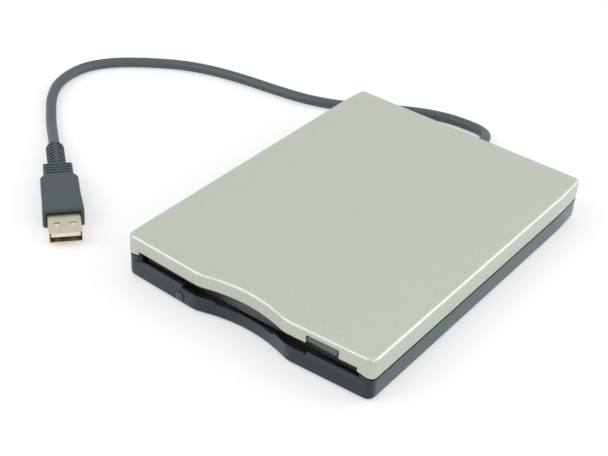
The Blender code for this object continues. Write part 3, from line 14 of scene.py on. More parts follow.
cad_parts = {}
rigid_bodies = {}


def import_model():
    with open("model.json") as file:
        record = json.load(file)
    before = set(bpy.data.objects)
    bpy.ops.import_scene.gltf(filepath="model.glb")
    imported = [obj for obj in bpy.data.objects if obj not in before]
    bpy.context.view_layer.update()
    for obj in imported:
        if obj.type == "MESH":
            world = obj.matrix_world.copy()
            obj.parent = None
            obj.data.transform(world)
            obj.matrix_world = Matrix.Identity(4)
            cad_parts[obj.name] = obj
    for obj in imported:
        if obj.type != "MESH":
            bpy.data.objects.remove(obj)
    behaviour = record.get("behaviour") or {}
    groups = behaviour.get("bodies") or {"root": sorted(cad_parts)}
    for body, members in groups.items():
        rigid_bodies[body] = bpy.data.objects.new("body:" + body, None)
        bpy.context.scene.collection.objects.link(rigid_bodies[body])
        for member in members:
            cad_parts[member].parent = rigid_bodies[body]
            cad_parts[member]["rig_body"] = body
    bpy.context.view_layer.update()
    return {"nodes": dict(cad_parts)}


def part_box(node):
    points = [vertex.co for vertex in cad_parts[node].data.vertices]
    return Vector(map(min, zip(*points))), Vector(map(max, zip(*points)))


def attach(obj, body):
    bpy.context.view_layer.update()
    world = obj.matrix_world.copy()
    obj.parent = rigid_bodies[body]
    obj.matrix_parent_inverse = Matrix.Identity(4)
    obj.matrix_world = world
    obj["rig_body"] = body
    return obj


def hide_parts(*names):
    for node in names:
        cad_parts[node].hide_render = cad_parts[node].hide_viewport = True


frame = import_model()

bl_info = {
    "name": "External floppy disk drive",
    "version": (1, 0, 0),
    "blender": (4, 5, 0),
    "location": "View3D > Sidebar > Floppy Drive",
    "description": "Dresses the floppy drive's frame with finishes, details, light and camera",
    "category": "Object",
}

MM = 0.001
REAR_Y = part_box("bottom_case")[1].y
WELD_DISTANCE = 0.001 * MM
FLAT_ANGLE = radians(0.4)
EDGE_ANGLE = radians(34)
STEEP_ANGLE = radians(50)
# Least share of a face's normal along an axis for the face to point that way
FACING_SHARE = 0.9


# Colours and nodes

def linear(hex_colour):
    """Linear RGBA of an sRGB hex colour."""
    channels = [int(hex_colour[index:index + 2], 16) / 255 for index in (0, 2, 4)]
    return (*[c / 12.92 if c <= 0.04045 else ((c + 0.055) / 1.055) ** 2.4 for c in channels], 1.0)


def node(material, kind, inputs=None, **settings):
    """Add a shader node; inputs maps socket names to values or to other nodes' sockets."""
    made = material.node_tree.nodes.new(kind)
    for name, value in settings.items():
        setattr(made, name, value)
    for name, value in (inputs or {}).items():
        if isinstance(value, bpy.types.NodeSocket):
            material.node_tree.links.new(value, made.inputs[name])
        else:
            made.inputs[name].default_value = value
    return made


def new_material(name):
    """A material with its Principled shader, empty of everything else."""
    material = bpy.data.materials.new(name)
    material.use_nodes = True
    return material, material.node_tree.nodes["Principled BSDF"]


def wire(material, source, target):
    material.node_tree.links.new(source, target)


def speckled(material, shader, colour, other, size, share, coordinates=None):
    """Break a colour up with a soft noise whose patches are about size across."""
    place = coordinates or node(material, "ShaderNodeTexCoord").outputs["Object"]
    noise = node(material, "ShaderNodeTexNoise",
                 {"Vector": place, "Scale": 1 / size, "Detail": 3.0, "Roughness": 0.6})
    ramp = node(material, "ShaderNodeMapRange",
                {"Value": noise.outputs["Fac"], "From Min": 0.3, "From Max": 0.7, "To Max": share})
    mix = node(material, "ShaderNodeMix",
               {"Factor": ramp.outputs["Result"], "A": linear(colour), "B": linear(other)},
               data_type="RGBA")
    wire(material, mix.outputs[2], shader.inputs["Base Color"])
    return noise


def grain(material, shader, size, height):
    """Fine moulded or sprayed texture as a bump."""
    place = node(material, "ShaderNodeTexCoord").outputs["Object"]
    noise = node(material, "ShaderNodeTexNoise",
                 {"Vector": place, "Scale": 1 / size, "Detail": 4.0, "Roughness": 0.65})
    bump = node(material, "ShaderNodeBump",
                {"Height": noise.outputs["Fac"], "Strength": 1.0, "Distance": height})
    wire(material, bump.outputs["Normal"], shader.inputs["Normal"])


def silver_paint(settings):
    """Metallic silver lacquer on moulded ABS: fine flakes give a soft, grainy sheen."""
    material, shader = new_material("Silver metallic lacquer")
    shader.inputs["Metallic"].default_value = 0.65
    shader.inputs["Roughness"].default_value = 0.42
    shader.inputs["Coat Weight"].default_value = 0.15
    shader.inputs["Coat Roughness"].default_value = 0.3
    # Real flakes are about 0.05 mm; 0.45 mm is the finest that shows at this distance.
    speckled(material, shader, settings.cover_colour, "A2A89E", 0.45 * MM, 0.6)
    grain(material, shader, 0.4 * MM, 0.004 * MM)
    return material


def case_plastic(settings):
    """Spark-textured ABS, blue-grey: an even matte grain that lights up softly at low angles."""
    material, shader = new_material("Textured blue-grey ABS")
    shader.inputs["Roughness"].default_value = 0.34
    shader.inputs["IOR"].default_value = 1.42
    shader.inputs["Sheen Weight"].default_value = 1.0
    shader.inputs["Sheen Roughness"].default_value = 0.3
    shader.inputs["Sheen Tint"].default_value = linear("D2F6FA")
    speckled(material, shader, settings.case_colour, "131A21", 0.7 * MM, 0.5)
    # The real grain is about 0.1 mm.
    grain(material, shader, 0.45 * MM, 0.018 * MM)
    return material


def plain_plastic(name, colour, other, roughness, size=0.6 * MM, height=0.015 * MM):
    """Moulded plastic with a fine grain."""
    material, shader = new_material(name)
    shader.inputs["Roughness"].default_value = roughness
    shader.inputs["IOR"].default_value = 1.5
    speckled(material, shader, colour, other, size, 0.5)
    grain(material, shader, size, height)
    return material


def lamp_polycarbonate():
    """Smoked polycarbonate light guide: dark, polished, a little clear."""
    material, shader = new_material("Smoked polycarbonate")
    shader.inputs["Roughness"].default_value = 0.12
    shader.inputs["IOR"].default_value = 1.58
    shader.inputs["Transmission Weight"].default_value = 0.25
    speckled(material, shader, "3C4046", "2A2D31", 1.2 * MM, 0.6)
    return material


def sheet_steel():
    """Zinc-plated sheet steel: pale metal with faint rolling lines and a cloudy spangle."""
    material, shader = new_material("Zinc-plated sheet steel")
    shader.inputs["Metallic"].default_value = 1.0
    place = node(material, "ShaderNodeTexCoord").outputs["Object"]
    drawn = node(material, "ShaderNodeMapping", {"Vector": place, "Scale": (1.0, 0.04, 1.0)})
    lines = speckled(material, shader, "B4B6B1", "8F928E", 0.5 * MM, 0.6, drawn.outputs["Vector"])
    rough = node(material, "ShaderNodeMapRange",
                 {"Value": lines.outputs["Fac"], "To Min": 0.25, "To Max": 0.45})
    wire(material, rough.outputs["Result"], shader.inputs["Roughness"])
    return material


def bright_steel(name, colour, roughness):
    """Nickel-plated or ground steel: bright, with faint stains."""
    material, shader = new_material(name)
    shader.inputs["Metallic"].default_value = 1.0
    shader.inputs["Roughness"].default_value = roughness
    speckled(material, shader, colour, "8D8972", 2.5 * MM, 0.3)
    return material


def solder_mask():
    """Green solder mask over copper tracks on glass-fibre board."""
    material, shader = new_material("Green solder mask board")
    place = node(material, "ShaderNodeTexCoord").outputs["Object"]
    tracks = node(material, "ShaderNodeTexBrick",
                  {"Vector": place, "Color1": linear("1E6B40"), "Color2": linear("1B5F39"),
                   "Mortar": linear("123F27"), "Scale": 1.0, "Mortar Size": 0.3 * MM,
                   "Brick Width": 9 * MM, "Row Height": 1.3 * MM})
    wire(material, tracks.outputs["Color"], shader.inputs["Base Color"])
    shader.inputs["Roughness"].default_value = 0.3
    grain(material, shader, 0.8 * MM, 0.01 * MM)
    return material


def ribbon_film():
    """Polyester film over tinned conductors, drawn as broad pale stripes."""
    material, shader = new_material("Flat cable film")
    place = node(material, "ShaderNodeTexCoord").outputs["Object"]
    stripes = node(material, "ShaderNodeTexWave",
                   {"Vector": place, "Scale": 1 / (20 * MM), "Distortion": 0.0},
                   bands_direction="X")
    mix = node(material, "ShaderNodeMix",
               {"Factor": stripes.outputs["Fac"], "A": linear("E8E8E2"), "B": linear("B9BCB8")},
               data_type="RGBA")
    wire(material, mix.outputs[2], shader.inputs["Base Color"])
    shader.inputs["Roughness"].default_value = 0.35
    return material


def cord_jacket(settings):
    """Extruded PVC jacket: satin, with very faint waves along its length."""
    material, shader = new_material("Satin PVC jacket")
    shader.inputs["Roughness"].default_value = 0.45
    shader.inputs["IOR"].default_value = 1.53
    speckled(material, shader, settings.jacket_colour, "3B4347", 1.6 * MM, 0.5)
    grain(material, shader, 0.9 * MM, 0.02 * MM)
    return material


# Settings

class CaseSettings(bpy.types.PropertyGroup):
    cover_colour: StringProperty(
        name="Cover colour", description="sRGB hex colour of the silver lacquer", default="BEC4BA")
    case_colour: StringProperty(
        name="Case colour", description="sRGB hex colour of the lower case", default="18202A")
    cover_edge: FloatProperty(
        name="Cover edge", description="Radius of the cover's fine edges", default=0.14 * MM, unit="LENGTH")
    button_gap: FloatProperty(
        name="Button gap", description="Gap left round the eject button beyond the frame's",
        default=0.12 * MM, unit="LENGTH")
    case_edge: FloatProperty(
        name="Case edge", description="Radius of the lower case's fine edges",
        default=0.1 * MM, unit="LENGTH")
    button_edge: FloatProperty(
        name="Button edge", description="Radius of the eject button's edges",
        default=0.22 * MM, unit="LENGTH")
    flap_edge: FloatProperty(
        name="Flap edge", description="Radius of the slot flap's edges", default=0.1 * MM, unit="LENGTH")


class CordSettings(bpy.types.PropertyGroup):
    jacket_colour: StringProperty(
        name="Jacket colour", description="sRGB hex colour of the lead", default="414A4E")
    diameter: FloatProperty(
        name="Diameter", description="Diameter of the lead", default=4.4 * MM, unit="LENGTH")
    length: FloatProperty(
        name="Length", description="Length of the free lead", default=280 * MM, unit="LENGTH")


class StageSettings(bpy.types.PropertyGroup):
    azimuth: FloatProperty(
        name="Azimuth", description="Camera angle round the drive from the front",
        default=radians(34.291), subtype="ANGLE")
    elevation: FloatProperty(
        name="Elevation", description="Camera angle above the table",
        default=radians(34.573), subtype="ANGLE")
    roll: FloatProperty(
        name="Roll", description="Camera turn about its line of sight",
        default=radians(4.505), subtype="ANGLE")
    distance: FloatProperty(
        name="Distance", description="From the camera to the point it aims at",
        default=474.8 * MM, unit="LENGTH")
    target: FloatVectorProperty(
        name="Target", description="Point the camera aims at",
        default=(-15.816 * MM, -15.215 * MM, 8.0 * MM), subtype="XYZ")
    lens: FloatProperty(
        name="Lens", description="Focal length in millimetres on a 36 mm wide sensor", default=76.84)
    key_power: FloatProperty(
        name="Key light", description="Power of the light above and behind, in watts", default=1.2)
    edge_power: FloatProperty(
        name="Edge light", description="Power of the light behind at the right, in watts", default=3.0)
    side_power: FloatProperty(
        name="Side light", description="Power of the light at the right, in watts", default=5.0)
    front_power: FloatProperty(
        name="Front light", description="Power of the light in front at the left, in watts", default=4.1)
    world_level: FloatProperty(
        name="Sky level", description="Strength of the even sky light", default=0.66)
    floor_glow: FloatProperty(
        name="Floor glow", description="Share of plain white in the floor that the camera sees", default=0.45)


class DriveSettings(bpy.types.PropertyGroup):
    case: PointerProperty(type=CaseSettings)
    cord: PointerProperty(type=CordSettings)
    stage: PointerProperty(type=StageSettings)


def settings():
    return bpy.context.scene.floppy_drive


FINISHES = {}


def finish(name):
    """The material of that short name, made the first time it is asked for."""
    if name not in FINISHES:
        makers = {
            "silver": lambda: silver_paint(settings().case),
            "case": lambda: case_plastic(settings().case),
            "button": lambda: plain_plastic("Grey ABS button", "484D4C", "3D4141", 0.46),
            "flap": lambda: plain_plastic("Dark ABS flap", "403E3C", "363432", 0.4),
            "lamp": lamp_polycarbonate,
            "rubber": lambda: plain_plastic("Black rubber", "232426", "1A1B1C", 0.8, 1.0 * MM, 0.05 * MM),
            "steel": sheet_steel,
            "plated": lambda: bright_steel("Nickel-plated steel", "B2B0A6", 0.25),
            "gold": lambda: bright_steel("Gold-plated contact", "D9B86A", 0.3),
            "nickel": lambda: bright_steel("Nickel-plated plug shell", "CDC8B0", 0.28),
            "board": solder_mask,
            "black": lambda: plain_plastic("Black glass-filled nylon", "242528", "1B1C1E", 0.5),
            "white": lambda: plain_plastic("White nylon", "E6E4DC", "D9D7CE", 0.4),
            "film": ribbon_film,
            "jacket": lambda: cord_jacket(settings().cord),
            "overmould": lambda: plain_plastic(
                "Soft PVC overmould", "3A4346", "343C3F", 0.5, 0.7 * MM, 0.03 * MM),
        }
        FINISHES[name] = makers[name]()
    return FINISHES[name]


# Meshes

def deselect_all():
    bpy.ops.object.select_all(action="DESELECT")


def make_active(made):
    deselect_all()
    made.select_set(True)
    bpy.context.view_layer.objects.active = made


def paint(obj, finish_name):
    """Give a piece or a CAD node its one finish."""
    obj.data.materials.clear()
    obj.data.materials.append(finish(finish_name))


def merged_copy(name, node_name):
    """A CAD node's copy with its loose triangles welded and its flat faces joined again."""
    source = frame["nodes"][node_name]
    made = bpy.data.objects.new(name, source.data.copy())
    bpy.context.scene.collection.objects.link(made)
    make_active(made)
    bpy.ops.object.mode_set(mode="EDIT")
    bpy.ops.mesh.select_all(action="SELECT")
    bpy.ops.mesh.remove_doubles(threshold=WELD_DISTANCE)
    bpy.ops.object.mode_set(mode="OBJECT")
    bpy.ops.object.shade_smooth_by_angle(angle=EDGE_ANGLE)
    bpy.ops.object.mode_set(mode="EDIT")
    bpy.ops.mesh.select_all(action="SELECT")
    bpy.ops.mesh.dissolve_limited(angle_limit=FLAT_ANGLE)
    bpy.ops.object.mode_set(mode="OBJECT")
    return made


def named(name):
    """Name the primitive that was just added and put its size and turn into its mesh."""
    made = bpy.context.object
    made.name = name
    made.data.name = name
    bpy.ops.object.transform_apply(location=True, rotation=True, scale=True)
    return made


def pick_faces(made, wanted):
    """In edit mode, select only the faces that are wanted."""
    bpy.ops.mesh.select_mode(type="FACE")
    bpy.ops.mesh.select_all(action="DESELECT")
    mesh = bmesh.from_edit_mesh(made.data)
    for face in mesh.faces:
        face.select_set(wanted(face))
    bmesh.update_edit_mesh(made.data)


def moved_copy(first, name, move):
    """A copy with its own mesh, moved from where the first one is."""
    made = bpy.data.objects.new(name, first.data.copy())
    bpy.context.scene.collection.objects.link(made)
    make_active(made)
    made.location = move
    bpy.ops.object.transform_apply(location=True, rotation=True, scale=True)
    return made


def body_of(node_name):
    """The body that carries a CAD node."""
    return frame["nodes"][node_name]["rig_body"]


def apply_modifier(made, kind, **values):
    """Add a modifier with these values and apply it."""
    make_active(made)
    modifier = made.modifiers.new(kind.title(), kind)
    for name, value in values.items():
        setattr(modifier, name, value)
    bpy.ops.object.modifier_apply(modifier=modifier.name)


def fine_edges(made, width, segments=2):
    """Round the sharp edges by a fine radius and shade the flats flat."""
    apply_modifier(made, "BEVEL", width=width, segments=segments, limit_method="ANGLE",
                   angle_limit=EDGE_ANGLE, harden_normals=False, loop_slide=False)
    bpy.ops.object.shade_smooth_by_angle(angle=EDGE_ANGLE)
    apply_modifier(made, "WEIGHTED_NORMAL", keep_sharp=True, weight=80)
    return made


def dressed_copy(name, node_name, width):
    """A CAD node's copy, welded, with the fine edge radius that the real moulding has."""
    return fine_edges(merged_copy(name, node_name), width)


def seat(made, body, slot_name, *nodes):
    """Let a finished piece ride on its body and stand for its CAD nodes."""
    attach(made, body)
    if nodes:
        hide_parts(*nodes)


# Pieces

class FLOPPY_OT_cover(bpy.types.Operator):
    """Silver top cover, its lower edge a little up from the case for the dark parting line"""
    bl_idname = "floppy.cover"
    bl_label = "Top cover"

    def execute(self, context):
        below_ceiling, rise = 11.2 * MM, 0.22 * MM
        cover = merged_copy("silver_top_cover", "top_cover")
        bpy.ops.object.mode_set(mode="EDIT")
        pick_faces(cover, lambda face: (
            face.normal.z < -FACING_SHARE and face.calc_center_median().z < below_ceiling))
        bpy.ops.transform.translate(value=(0.0, 0.0, rise))
        bpy.ops.object.mode_set(mode="OBJECT")
        fine_edges(cover, settings().case.cover_edge)
        paint(cover, "silver")
        seat(cover, "case", "silver_cover", "top_cover")
        return {"FINISHED"}


class FLOPPY_OT_case(bpy.types.Operator):
    """Dark lower case, with a channel sunk in its rim that keeps the parting line black"""
    bl_idname = "floppy.case"
    bl_label = "Lower case"

    def execute(self, context):
        rim_share, channel_wall, channel_depth = 0.83, 0.14 * MM, 1.1 * MM
        above = rim_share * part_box("bottom_case")[1].z
        case = merged_copy("dark_lower_case", "bottom_case")
        bpy.ops.object.mode_set(mode="EDIT")
        pick_faces(case, lambda face: (
            face.normal.z > FACING_SHARE and face.calc_center_median().z > above))
        bpy.ops.mesh.inset(thickness=channel_wall, depth=0.0)
        bpy.ops.transform.translate(value=(0.0, 0.0, -channel_depth))
        bpy.ops.object.mode_set(mode="OBJECT")
        fine_edges(case, settings().case.case_edge)
        paint(case, "case")
        seat(case, "case", "dark_case", "bottom_case")
        return {"FINISHED"}


class FLOPPY_OT_button(bpy.types.Operator):
    """Eject button, a wedge whose sloped face meets the finger"""
    bl_idname = "floppy.button"
    bl_label = "Eject button"

    def execute(self, context):
        low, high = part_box("eject_button")
        gap = settings().case.button_gap
        nose_height, slope_run, under_run = 0.9 * MM, 1.3 * MM, 0.8 * MM
        size = high - low
        deselect_all()
        bpy.ops.mesh.primitive_cube_add(
            size=1.0, location=(low + high) / 2 - Vector((0.0, 0.0, gap / 2)),
            scale=(size.x - 2 * gap, size.y, size.z - gap))
        button = named("eject_button_cap")
        bpy.ops.object.mode_set(mode="EDIT")
        nose = Vector((0.0, low.y, low.z + nose_height))
        slope = Vector((0.0, nose.z - high.z, slope_run))
        under = Vector((0.0, -nose_height, -under_run))
        for away in (slope, under):
            bpy.ops.mesh.select_all(action="SELECT")
            bpy.ops.mesh.bisect(plane_co=nose, plane_no=away.normalized(), use_fill=True, clear_outer=True)
        bpy.ops.object.mode_set(mode="OBJECT")
        fine_edges(button, settings().case.button_edge, 3)
        paint(button, "button")
        seat(button, body_of("eject_button"), "button_plastic", "eject_button")
        return {"FINISHED"}


class FLOPPY_OT_flap(bpy.types.Operator):
    """Dust flap behind the slot"""
    bl_idname = "floppy.flap"
    bl_label = "Slot flap"

    def execute(self, context):
        flap = dressed_copy("dust_flap", "slot_flap", settings().case.flap_edge)
        paint(flap, "flap")
        seat(flap, body_of("slot_flap"), "dark_case", "slot_flap")
        return {"FINISHED"}


class FLOPPY_OT_lamp(bpy.types.Operator):
    """Lamp window: a round light guide with a domed front"""
    bl_idname = "floppy.lamp"
    bl_label = "Lamp window"

    def execute(self, context):
        low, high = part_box("lamp_window")
        dome_rings = (
            (0.14 * MM, 0.18 * MM), (0.2 * MM, 0.12 * MM), (0.3 * MM, 0.08 * MM), (0.35 * MM, 0.04 * MM))
        dome = sum(rise for inward, rise in dome_rings)
        deselect_all()
        bpy.ops.mesh.primitive_cylinder_add(
            vertices=48, radius=(high.x - low.x) / 2, depth=high.y - low.y - dome,
            location=((low.x + high.x) / 2, (low.y + dome + high.y) / 2, (low.z + high.z) / 2),
            rotation=(pi / 2, 0.0, 0.0))
        lamp = named("lamp_light_guide")
        bpy.ops.object.mode_set(mode="EDIT")
        pick_faces(lamp, lambda face: face.normal.y < -FACING_SHARE)
        for inward, rise in dome_rings:
            bpy.ops.mesh.inset(thickness=inward, depth=rise)
        bpy.ops.object.mode_set(mode="OBJECT")
        bpy.ops.object.shade_smooth_by_angle(angle=STEEP_ANGLE)
        paint(lamp, "lamp")
        seat(lamp, "case", "lamp_lens", "lamp_window")
        return {"FINISHED"}


class FLOPPY_OT_feet(bpy.types.Operator):
    """Four rubber feet with a rounded rim and a dished sole"""
    bl_idname = "floppy.feet"
    bl_label = "Feet"

    def execute(self, context):
        names = ("foot_front_left", "foot_front_right", "foot_rear_left", "foot_rear_right")
        low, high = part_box(names[0])
        rim, dish_slope, dish, edge = 0.9 * MM, 0.5 * MM, 0.2 * MM, 0.15 * MM
        deselect_all()
        bpy.ops.mesh.primitive_cylinder_add(
            vertices=64, radius=(high.x - low.x) / 2, depth=high.z - low.z, location=(low + high) / 2)
        first = named("rubber_" + names[0])
        bpy.ops.object.mode_set(mode="EDIT")
        pick_faces(first, lambda face: face.normal.z < -FACING_SHARE)
        bpy.ops.mesh.inset(thickness=rim, depth=0.0)
        bpy.ops.mesh.inset(thickness=dish_slope, depth=-dish)
        bpy.ops.object.mode_set(mode="OBJECT")
        fine_edges(first, edge, 3)
        paint(first, "rubber")
        for name in names:
            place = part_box(name)[0] - low
            foot = first if name == names[0] else moved_copy(first, "rubber_" + name, place)
            seat(foot, "case", "foot_rubber", name)
        return {"FINISHED"}


class FLOPPY_OT_case_screws(bpy.types.Operator):
    """Two case screws with cross recesses"""
    bl_idname = "floppy.case_screws"
    bl_label = "Case screws"

    def execute(self, context):
        names = ("case_screw_left", "case_screw_right")
        low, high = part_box(names[0])
        centre = (low + high) / 2
        radius, head, shank, edge = (high.x - low.x) / 2, 1.2 * MM, 1.0 * MM, 0.2 * MM
        recess = (2.1 * MM, 0.42 * MM, 1.5 * MM)
        deselect_all()
        bpy.ops.mesh.primitive_cylinder_add(
            vertices=48, radius=radius, depth=head, location=(centre.x, centre.y, low.z + head / 2))
        first = named("plated_" + names[0])
        bpy.ops.object.mode_set(mode="EDIT")
        pick_faces(first, lambda face: face.normal.z > FACING_SHARE)
        bpy.ops.mesh.inset(thickness=radius - shank, depth=0.0)
        bpy.ops.mesh.extrude_region_move(TRANSFORM_OT_translate={"value": (0.0, 0.0, high.z - low.z - head)})
        bpy.ops.object.mode_set(mode="OBJECT")
        apply_modifier(first, "BEVEL", width=edge, segments=3, limit_method="ANGLE", angle_limit=STEEP_ANGLE)
        for turn in (0.0, pi / 2):
            deselect_all()
            bpy.ops.mesh.primitive_cube_add(
                size=1.0, location=(centre.x, centre.y, low.z), rotation=(0.0, 0.0, turn), scale=recess)
            blade = bpy.context.object
            apply_modifier(first, "BOOLEAN", operation="DIFFERENCE", object=blade, solver="EXACT")
            bpy.data.objects.remove(blade)
        make_active(first)
        bpy.ops.object.shade_smooth_by_angle(angle=EDGE_ANGLE)
        paint(first, "plated")
        second = moved_copy(first, "plated_" + names[1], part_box(names[1])[0] - low)
        seat(first, "case", "plated_steel", names[0])
        seat(second, "case", "plated_steel", names[1])
        return {"FINISHED"}


class FLOPPY_OT_plug(bpy.types.Operator):
    """Gland, boot, grip, shell and tongue of the lead, with the four contacts under the tongue"""
    bl_idname = "floppy.plug"
    bl_label = "Gland and plug"

    def execute(self, context):
        for name, node_name, width, finish_name, slot_name in (
                ("moulded_gland", "cord_gland", 0.18 * MM, "overmould", "cord_grey"),
                ("ribbed_boot", "plug_boot", 0.16 * MM, "overmould", "cord_grey"),
                ("moulded_grip", "plug_grip", 0.12 * MM, "overmould", "cord_grey"),
                ("folded_shell", "plug_shell", 0.07 * MM, "nickel", "nickel_shell"),
                ("moulded_tongue", "plug_tongue", 0.12 * MM, "white", "white_plastic")):
            piece = dressed_copy(name, node_name, width)
            paint(piece, finish_name)
            seat(piece, "case", slot_name, node_name)
        pitch, set_back = 2.2 * MM, 1.6 * MM
        wide, long, thick, edge = 1.1 * MM, 6.4 * MM, 0.12 * MM, 0.04 * MM
        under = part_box("plug_tongue")[0].z
        for index in range(4):
            deselect_all()
            bpy.ops.mesh.primitive_cube_add(
                size=1.0, scale=(wide, long, thick),
                location=((index - 1.5) * pitch, set_back + long / 2, under - thick / 2 - PLUG_NOSE.z))
            contact = named(f"plug_contact_{index + 1}")
            fine_edges(contact, edge)
            contact.matrix_world = Matrix.Translation(PLUG_NOSE) @ Matrix.Rotation(PLUG_TURN, 4, "Z")
            bpy.ops.object.transform_apply(location=True, rotation=True, scale=True)
            paint(contact, "gold")
            seat(contact, "case", "plated_steel")
        return {"FINISHED"}


class FLOPPY_OT_finishes(bpy.types.Operator):
    """Finishes of the CAD nodes that keep their own shape"""
    bl_idname = "floppy.finishes"
    bl_label = "Finishes of the plain parts"

    def execute(self, context):
        table = {
            "eject_slide": "steel", "disk_cradle": "steel", "drive_chassis": "steel",
            "shutter_lever": "steel", "spindle_stator": "board", "spindle_rotor": "plated",
            "head_carriage": "black", "upper_head_arm": "steel", "guide_rod": "plated",
            "lead_screw": "plated", "stepper_motor": "steel", "main_board": "board",
            "write_protect_switch": "black", "write_protect_plunger": "white",
            "density_switch": "black", "density_plunger": "white", "disk_in_switch": "black",
            "disk_in_plunger": "white", "converter_board": "board", "flat_cable": "film",
        }
        for node_name, finish_name in table.items():
            paint(frame["nodes"][node_name], finish_name)
        return {"FINISHED"}


# Route of the lead on the table, in metres: X from the middle, Y from the rear face
CORD_ROUTE = (
    (0.0, 0.0126), (0.0, 0.017), (-0.0026, 0.0231), (-0.008, 0.0276), (-0.0155, 0.0292),
    (-0.024, 0.0285), (-0.033, 0.0255), (-0.042, 0.0206), (-0.051, 0.0146), (-0.06, 0.0086),
    (-0.07, 0.0032), (-0.081, -0.0006), (-0.093, -0.0028), (-0.105, -0.0044), (-0.116, -0.0062),
    (-0.127, -0.009), (-0.138, -0.0136), (-0.148, -0.0201), (-0.157, -0.0276), (-0.164, -0.0356),
    (-0.1682, -0.0448), (-0.1685, -0.055), (-0.1654, -0.0654), (-0.1588, -0.075), (-0.1504, -0.0836),
)
# How far above the table the first points lie, as shares of the height of the exit
CORD_LIFT_SHARES = (1.0, 0.93, 0.62, 0.24, 0.04)
EXIT_Z = 6.2 * MM
ROUTE_STEP = 2.0 * MM
# Place of the plug's mouth, the plug's turn about Z, its length with the boot, and the lead's rise to it
PLUG_NOSE = Vector((-79.5 * MM, REAR_Y - 144.8 * MM, 4.0 * MM))
PLUG_TURN = radians(49.5)
PLUG_LENGTH = 61.3 * MM
RISE_LENGTH = 22.0 * MM


def plug_point(along, height):
    """Place of a point on the plug's axis, given from its mouth."""
    return Vector((PLUG_NOSE.x - sin(PLUG_TURN) * along, PLUG_NOSE.y + cos(PLUG_TURN) * along, height))


def smooth_route(points, step):
    """Even steps along a smooth curve through the points."""
    steps_per_span = 20
    padded = [2 * points[0] - points[1]] + points + [2 * points[-1] - points[-2]]
    dense = []
    for a, b, c, d in zip(padded, padded[1:], padded[2:], padded[3:]):
        for index in range(steps_per_span):
            t = index / steps_per_span
            square, cube = (2 * a - 5 * b + 4 * c - d) * t ** 2, (3 * b - a - 3 * c + d) * t ** 3
            dense.append(0.5 * (2 * b + (c - a) * t + square + cube))
    dense.append(points[-1])
    lengths = [0.0]
    for before, after in zip(dense, dense[1:]):
        lengths.append(lengths[-1] + (after - before).length)
    count = round(lengths[-1] / step)
    even, index = [], 0
    for number in range(count + 1):
        goal = lengths[-1] * number / count
        while index < len(dense) - 2 and lengths[index + 1] < goal:
            index += 1
        share = (goal - lengths[index]) / (lengths[index + 1] - lengths[index])
        even.append(dense[index].lerp(dense[index + 1], share))
    return even


class FLOPPY_OT_cord(bpy.types.Operator):
    """Lead from the gland round to the plug"""
    bl_idname = "floppy.cord"
    bl_label = "Lead"

    def execute(self, context):
        lead = settings().cord
        radius = lead.diameter / 2
        points = []
        for index, (x, y) in enumerate(CORD_ROUTE):
            lift = CORD_LIFT_SHARES[index] if index < len(CORD_LIFT_SHARES) else 0.0
            points.append(Vector((x, REAR_Y + y, radius + (EXIT_Z - radius) * lift)))
        points.append(plug_point(PLUG_LENGTH + RISE_LENGTH, radius))
        points.append(plug_point(PLUG_LENGTH + RISE_LENGTH / 2, (radius + PLUG_NOSE.z) / 2))
        points.append(plug_point(PLUG_LENGTH, PLUG_NOSE.z))
        curve = bpy.data.curves.new("lead", "CURVE")
        curve.dimensions = "3D"
        curve.bevel_depth = radius
        curve.bevel_resolution = 6
        curve.use_fill_caps = True
        route = smooth_route(points, ROUTE_STEP)
        spline = curve.splines.new("POLY")
        spline.points.add(len(route) - 1)
        for point, place in zip(spline.points, route):
            point.co = (place.x, place.y, max(place.z, radius), 1.0)
        spline.use_smooth = True
        cord = bpy.data.objects.new("lead", curve)
        bpy.context.scene.collection.objects.link(cord)
        paint(cord, "jacket")
        seat(cord, "case", "cord_grey", "usb_cord")
        return {"FINISHED"}


# Stage

# Width of the camera's sensor in millimetres, the unit of the lens too
SENSOR_WIDTH = 36.0
# Side of the square floor in metres
FLOOR_SIZE = 2.6
# Name, place, width and height of each soft light, in metres. The edge light gives the bright line on the
# right fillet, and the front light the one on the wavy front.
LIGHTS = (
    ("key", (0.15, 0.3, 0.9), 0.9, 0.9),
    ("edge", (0.66, 0.68, 0.36), 0.5, 0.8),
    ("side", (1.05, -0.05, 0.35), 1.5, 0.9),
    ("front", (-0.45, -0.62, 0.62), 1.0, 0.7),
)


def area_light(name, place, width, height, power):
    """A white soft light in watts that faces the drive."""
    bpy.ops.object.light_add(type="AREA", location=place)
    lamp = bpy.context.object
    lamp.name = name
    lamp.data.shape = "RECTANGLE"
    lamp.data.size = width
    lamp.data.size_y = height
    lamp.data.energy = power
    lamp.rotation_euler = (-Vector(place)).to_track_quat("-Z", "Y").to_euler()


def white_for_camera(material, shader, share):
    """Show the floor white to camera and reflections by a share, and keep the shadows that fall on it."""
    output = material.node_tree.nodes["Material Output"]
    path = node(material, "ShaderNodeLightPath")
    direct = node(material, "ShaderNodeMath",
                  {0: path.outputs["Is Camera Ray"], 1: path.outputs["Is Glossy Ray"]}, operation="MAXIMUM")
    either = node(material, "ShaderNodeMath",
                  {0: direct.outputs[0], 1: path.outputs["Is Transmission Ray"]}, operation="MAXIMUM")
    amount = node(material, "ShaderNodeMath", {0: either.outputs[0], 1: share}, operation="MULTIPLY")
    glow = node(material, "ShaderNodeEmission", {"Strength": 1.0})
    mix = node(material, "ShaderNodeMixShader",
               {"Fac": amount.outputs[0], 1: shader.outputs["BSDF"], 2: glow.outputs["Emission"]})
    wire(material, mix.outputs["Shader"], output.inputs["Surface"])


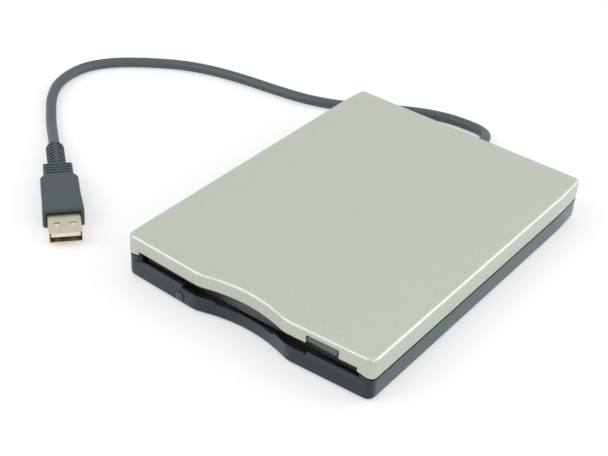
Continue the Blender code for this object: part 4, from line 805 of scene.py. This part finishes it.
class FLOPPY_OT_stage(bpy.types.Operator):
    """Floor, even sky, soft lights and the camera"""
    bl_idname = "floppy.stage"
    bl_label = "Stage, light and camera"

    def execute(self, context):
        stage = settings().stage
        scene = bpy.context.scene
        scene.view_settings.view_transform = "Standard"

        deselect_all()
        bpy.ops.mesh.primitive_plane_add(size=FLOOR_SIZE, location=(0, 0, 0))
        floor = bpy.context.object
        floor.name = "table_card"
        bpy.ops.object.transform_apply(location=True, rotation=True, scale=True)
        material, shader = new_material("Pale matte card")
        shader.inputs["Roughness"].default_value = 0.9
        speckled(material, shader, "FBFBFB", "F6F6F6", 4.0 * MM, 0.5)
        white_for_camera(material, shader, stage.floor_glow)
        floor.data.materials.append(material)

        world = bpy.data.worlds.new("Even studio sky")
        scene.world = world
        world.use_nodes = True
        sky = world.node_tree.nodes["Background"]
        sky.inputs["Color"].default_value = (1.0, 1.0, 1.0, 1.0)
        path = node(world, "ShaderNodeLightPath")
        either = node(
            world, "ShaderNodeMath",
            {0: path.outputs["Is Camera Ray"], 1: path.outputs["Is Glossy Ray"]}, operation="MAXIMUM")
        shown = node(world, "ShaderNodeMath", {0: either.outputs[0], 1: path.outputs["Is Transmission Ray"]},
                     operation="MAXIMUM")
        level = node(world, "ShaderNodeMapRange", {"Value": shown.outputs[0], "To Min": stage.world_level})
        wire(world, level.outputs["Result"], sky.inputs["Strength"])

        for name, place, width, height in LIGHTS:
            area_light(name + "_light", place, width, height, getattr(stage, name + "_power"))

        back = Vector((sin(stage.azimuth) * cos(stage.elevation),
                       -cos(stage.azimuth) * cos(stage.elevation), sin(stage.elevation)))
        target = Vector(stage.target)
        right = (-back).cross(Vector((0, 0, 1))).normalized()
        up = right.cross(-back)
        turned_right = right * cos(stage.roll) + up * sin(stage.roll)
        turned_up = up * cos(stage.roll) - right * sin(stage.roll)
        axes = Matrix((turned_right, turned_up, back)).transposed().to_4x4()
        bpy.ops.object.camera_add()
        camera = bpy.context.object
        camera.name = "photo_camera"
        camera.matrix_world = Matrix.Translation(target + back * stage.distance) @ axes
        camera.data.sensor_width = SENSOR_WIDTH
        camera.data.sensor_fit = "HORIZONTAL"
        camera.data.lens = stage.lens
        camera.data.clip_start = 10 * MM
        scene.camera = camera
        return {"FINISHED"}


class FLOPPY_PT_panel(bpy.types.Panel):
    """Buttons that build each piece"""
    bl_idname = "FLOPPY_PT_panel"
    bl_label = "Floppy Drive"
    bl_space_type = "VIEW_3D"
    bl_region_type = "UI"
    bl_category = "Floppy Drive"

    def draw(self, context):
        for operator in OPERATORS:
            self.layout.operator(operator.bl_idname)


OPERATORS = (
    FLOPPY_OT_stage,
    FLOPPY_OT_cover,
    FLOPPY_OT_case,
    FLOPPY_OT_button,
    FLOPPY_OT_flap,
    FLOPPY_OT_lamp,
    FLOPPY_OT_feet,
    FLOPPY_OT_case_screws,
    FLOPPY_OT_finishes,
    FLOPPY_OT_cord,
    FLOPPY_OT_plug,
)
CLASSES = (CaseSettings, CordSettings, StageSettings, DriveSettings) + OPERATORS + (FLOPPY_PT_panel,)


def register():
    for item in CLASSES:
        bpy.utils.register_class(item)
    bpy.types.Scene.floppy_drive = PointerProperty(type=DriveSettings)


def unregister():
    del bpy.types.Scene.floppy_drive
    for item in reversed(CLASSES):
        bpy.utils.unregister_class(item)


def main():
    register()
    bpy.ops.floppy.stage()
    bpy.ops.floppy.cord()
    bpy.ops.floppy.plug()
    bpy.ops.floppy.cover()
    bpy.ops.floppy.case()
    bpy.ops.floppy.button()
    bpy.ops.floppy.flap()
    bpy.ops.floppy.lamp()
    bpy.ops.floppy.feet()
    bpy.ops.floppy.case_screws()
    bpy.ops.floppy.finishes()


if __name__ == "__main__":
    main()
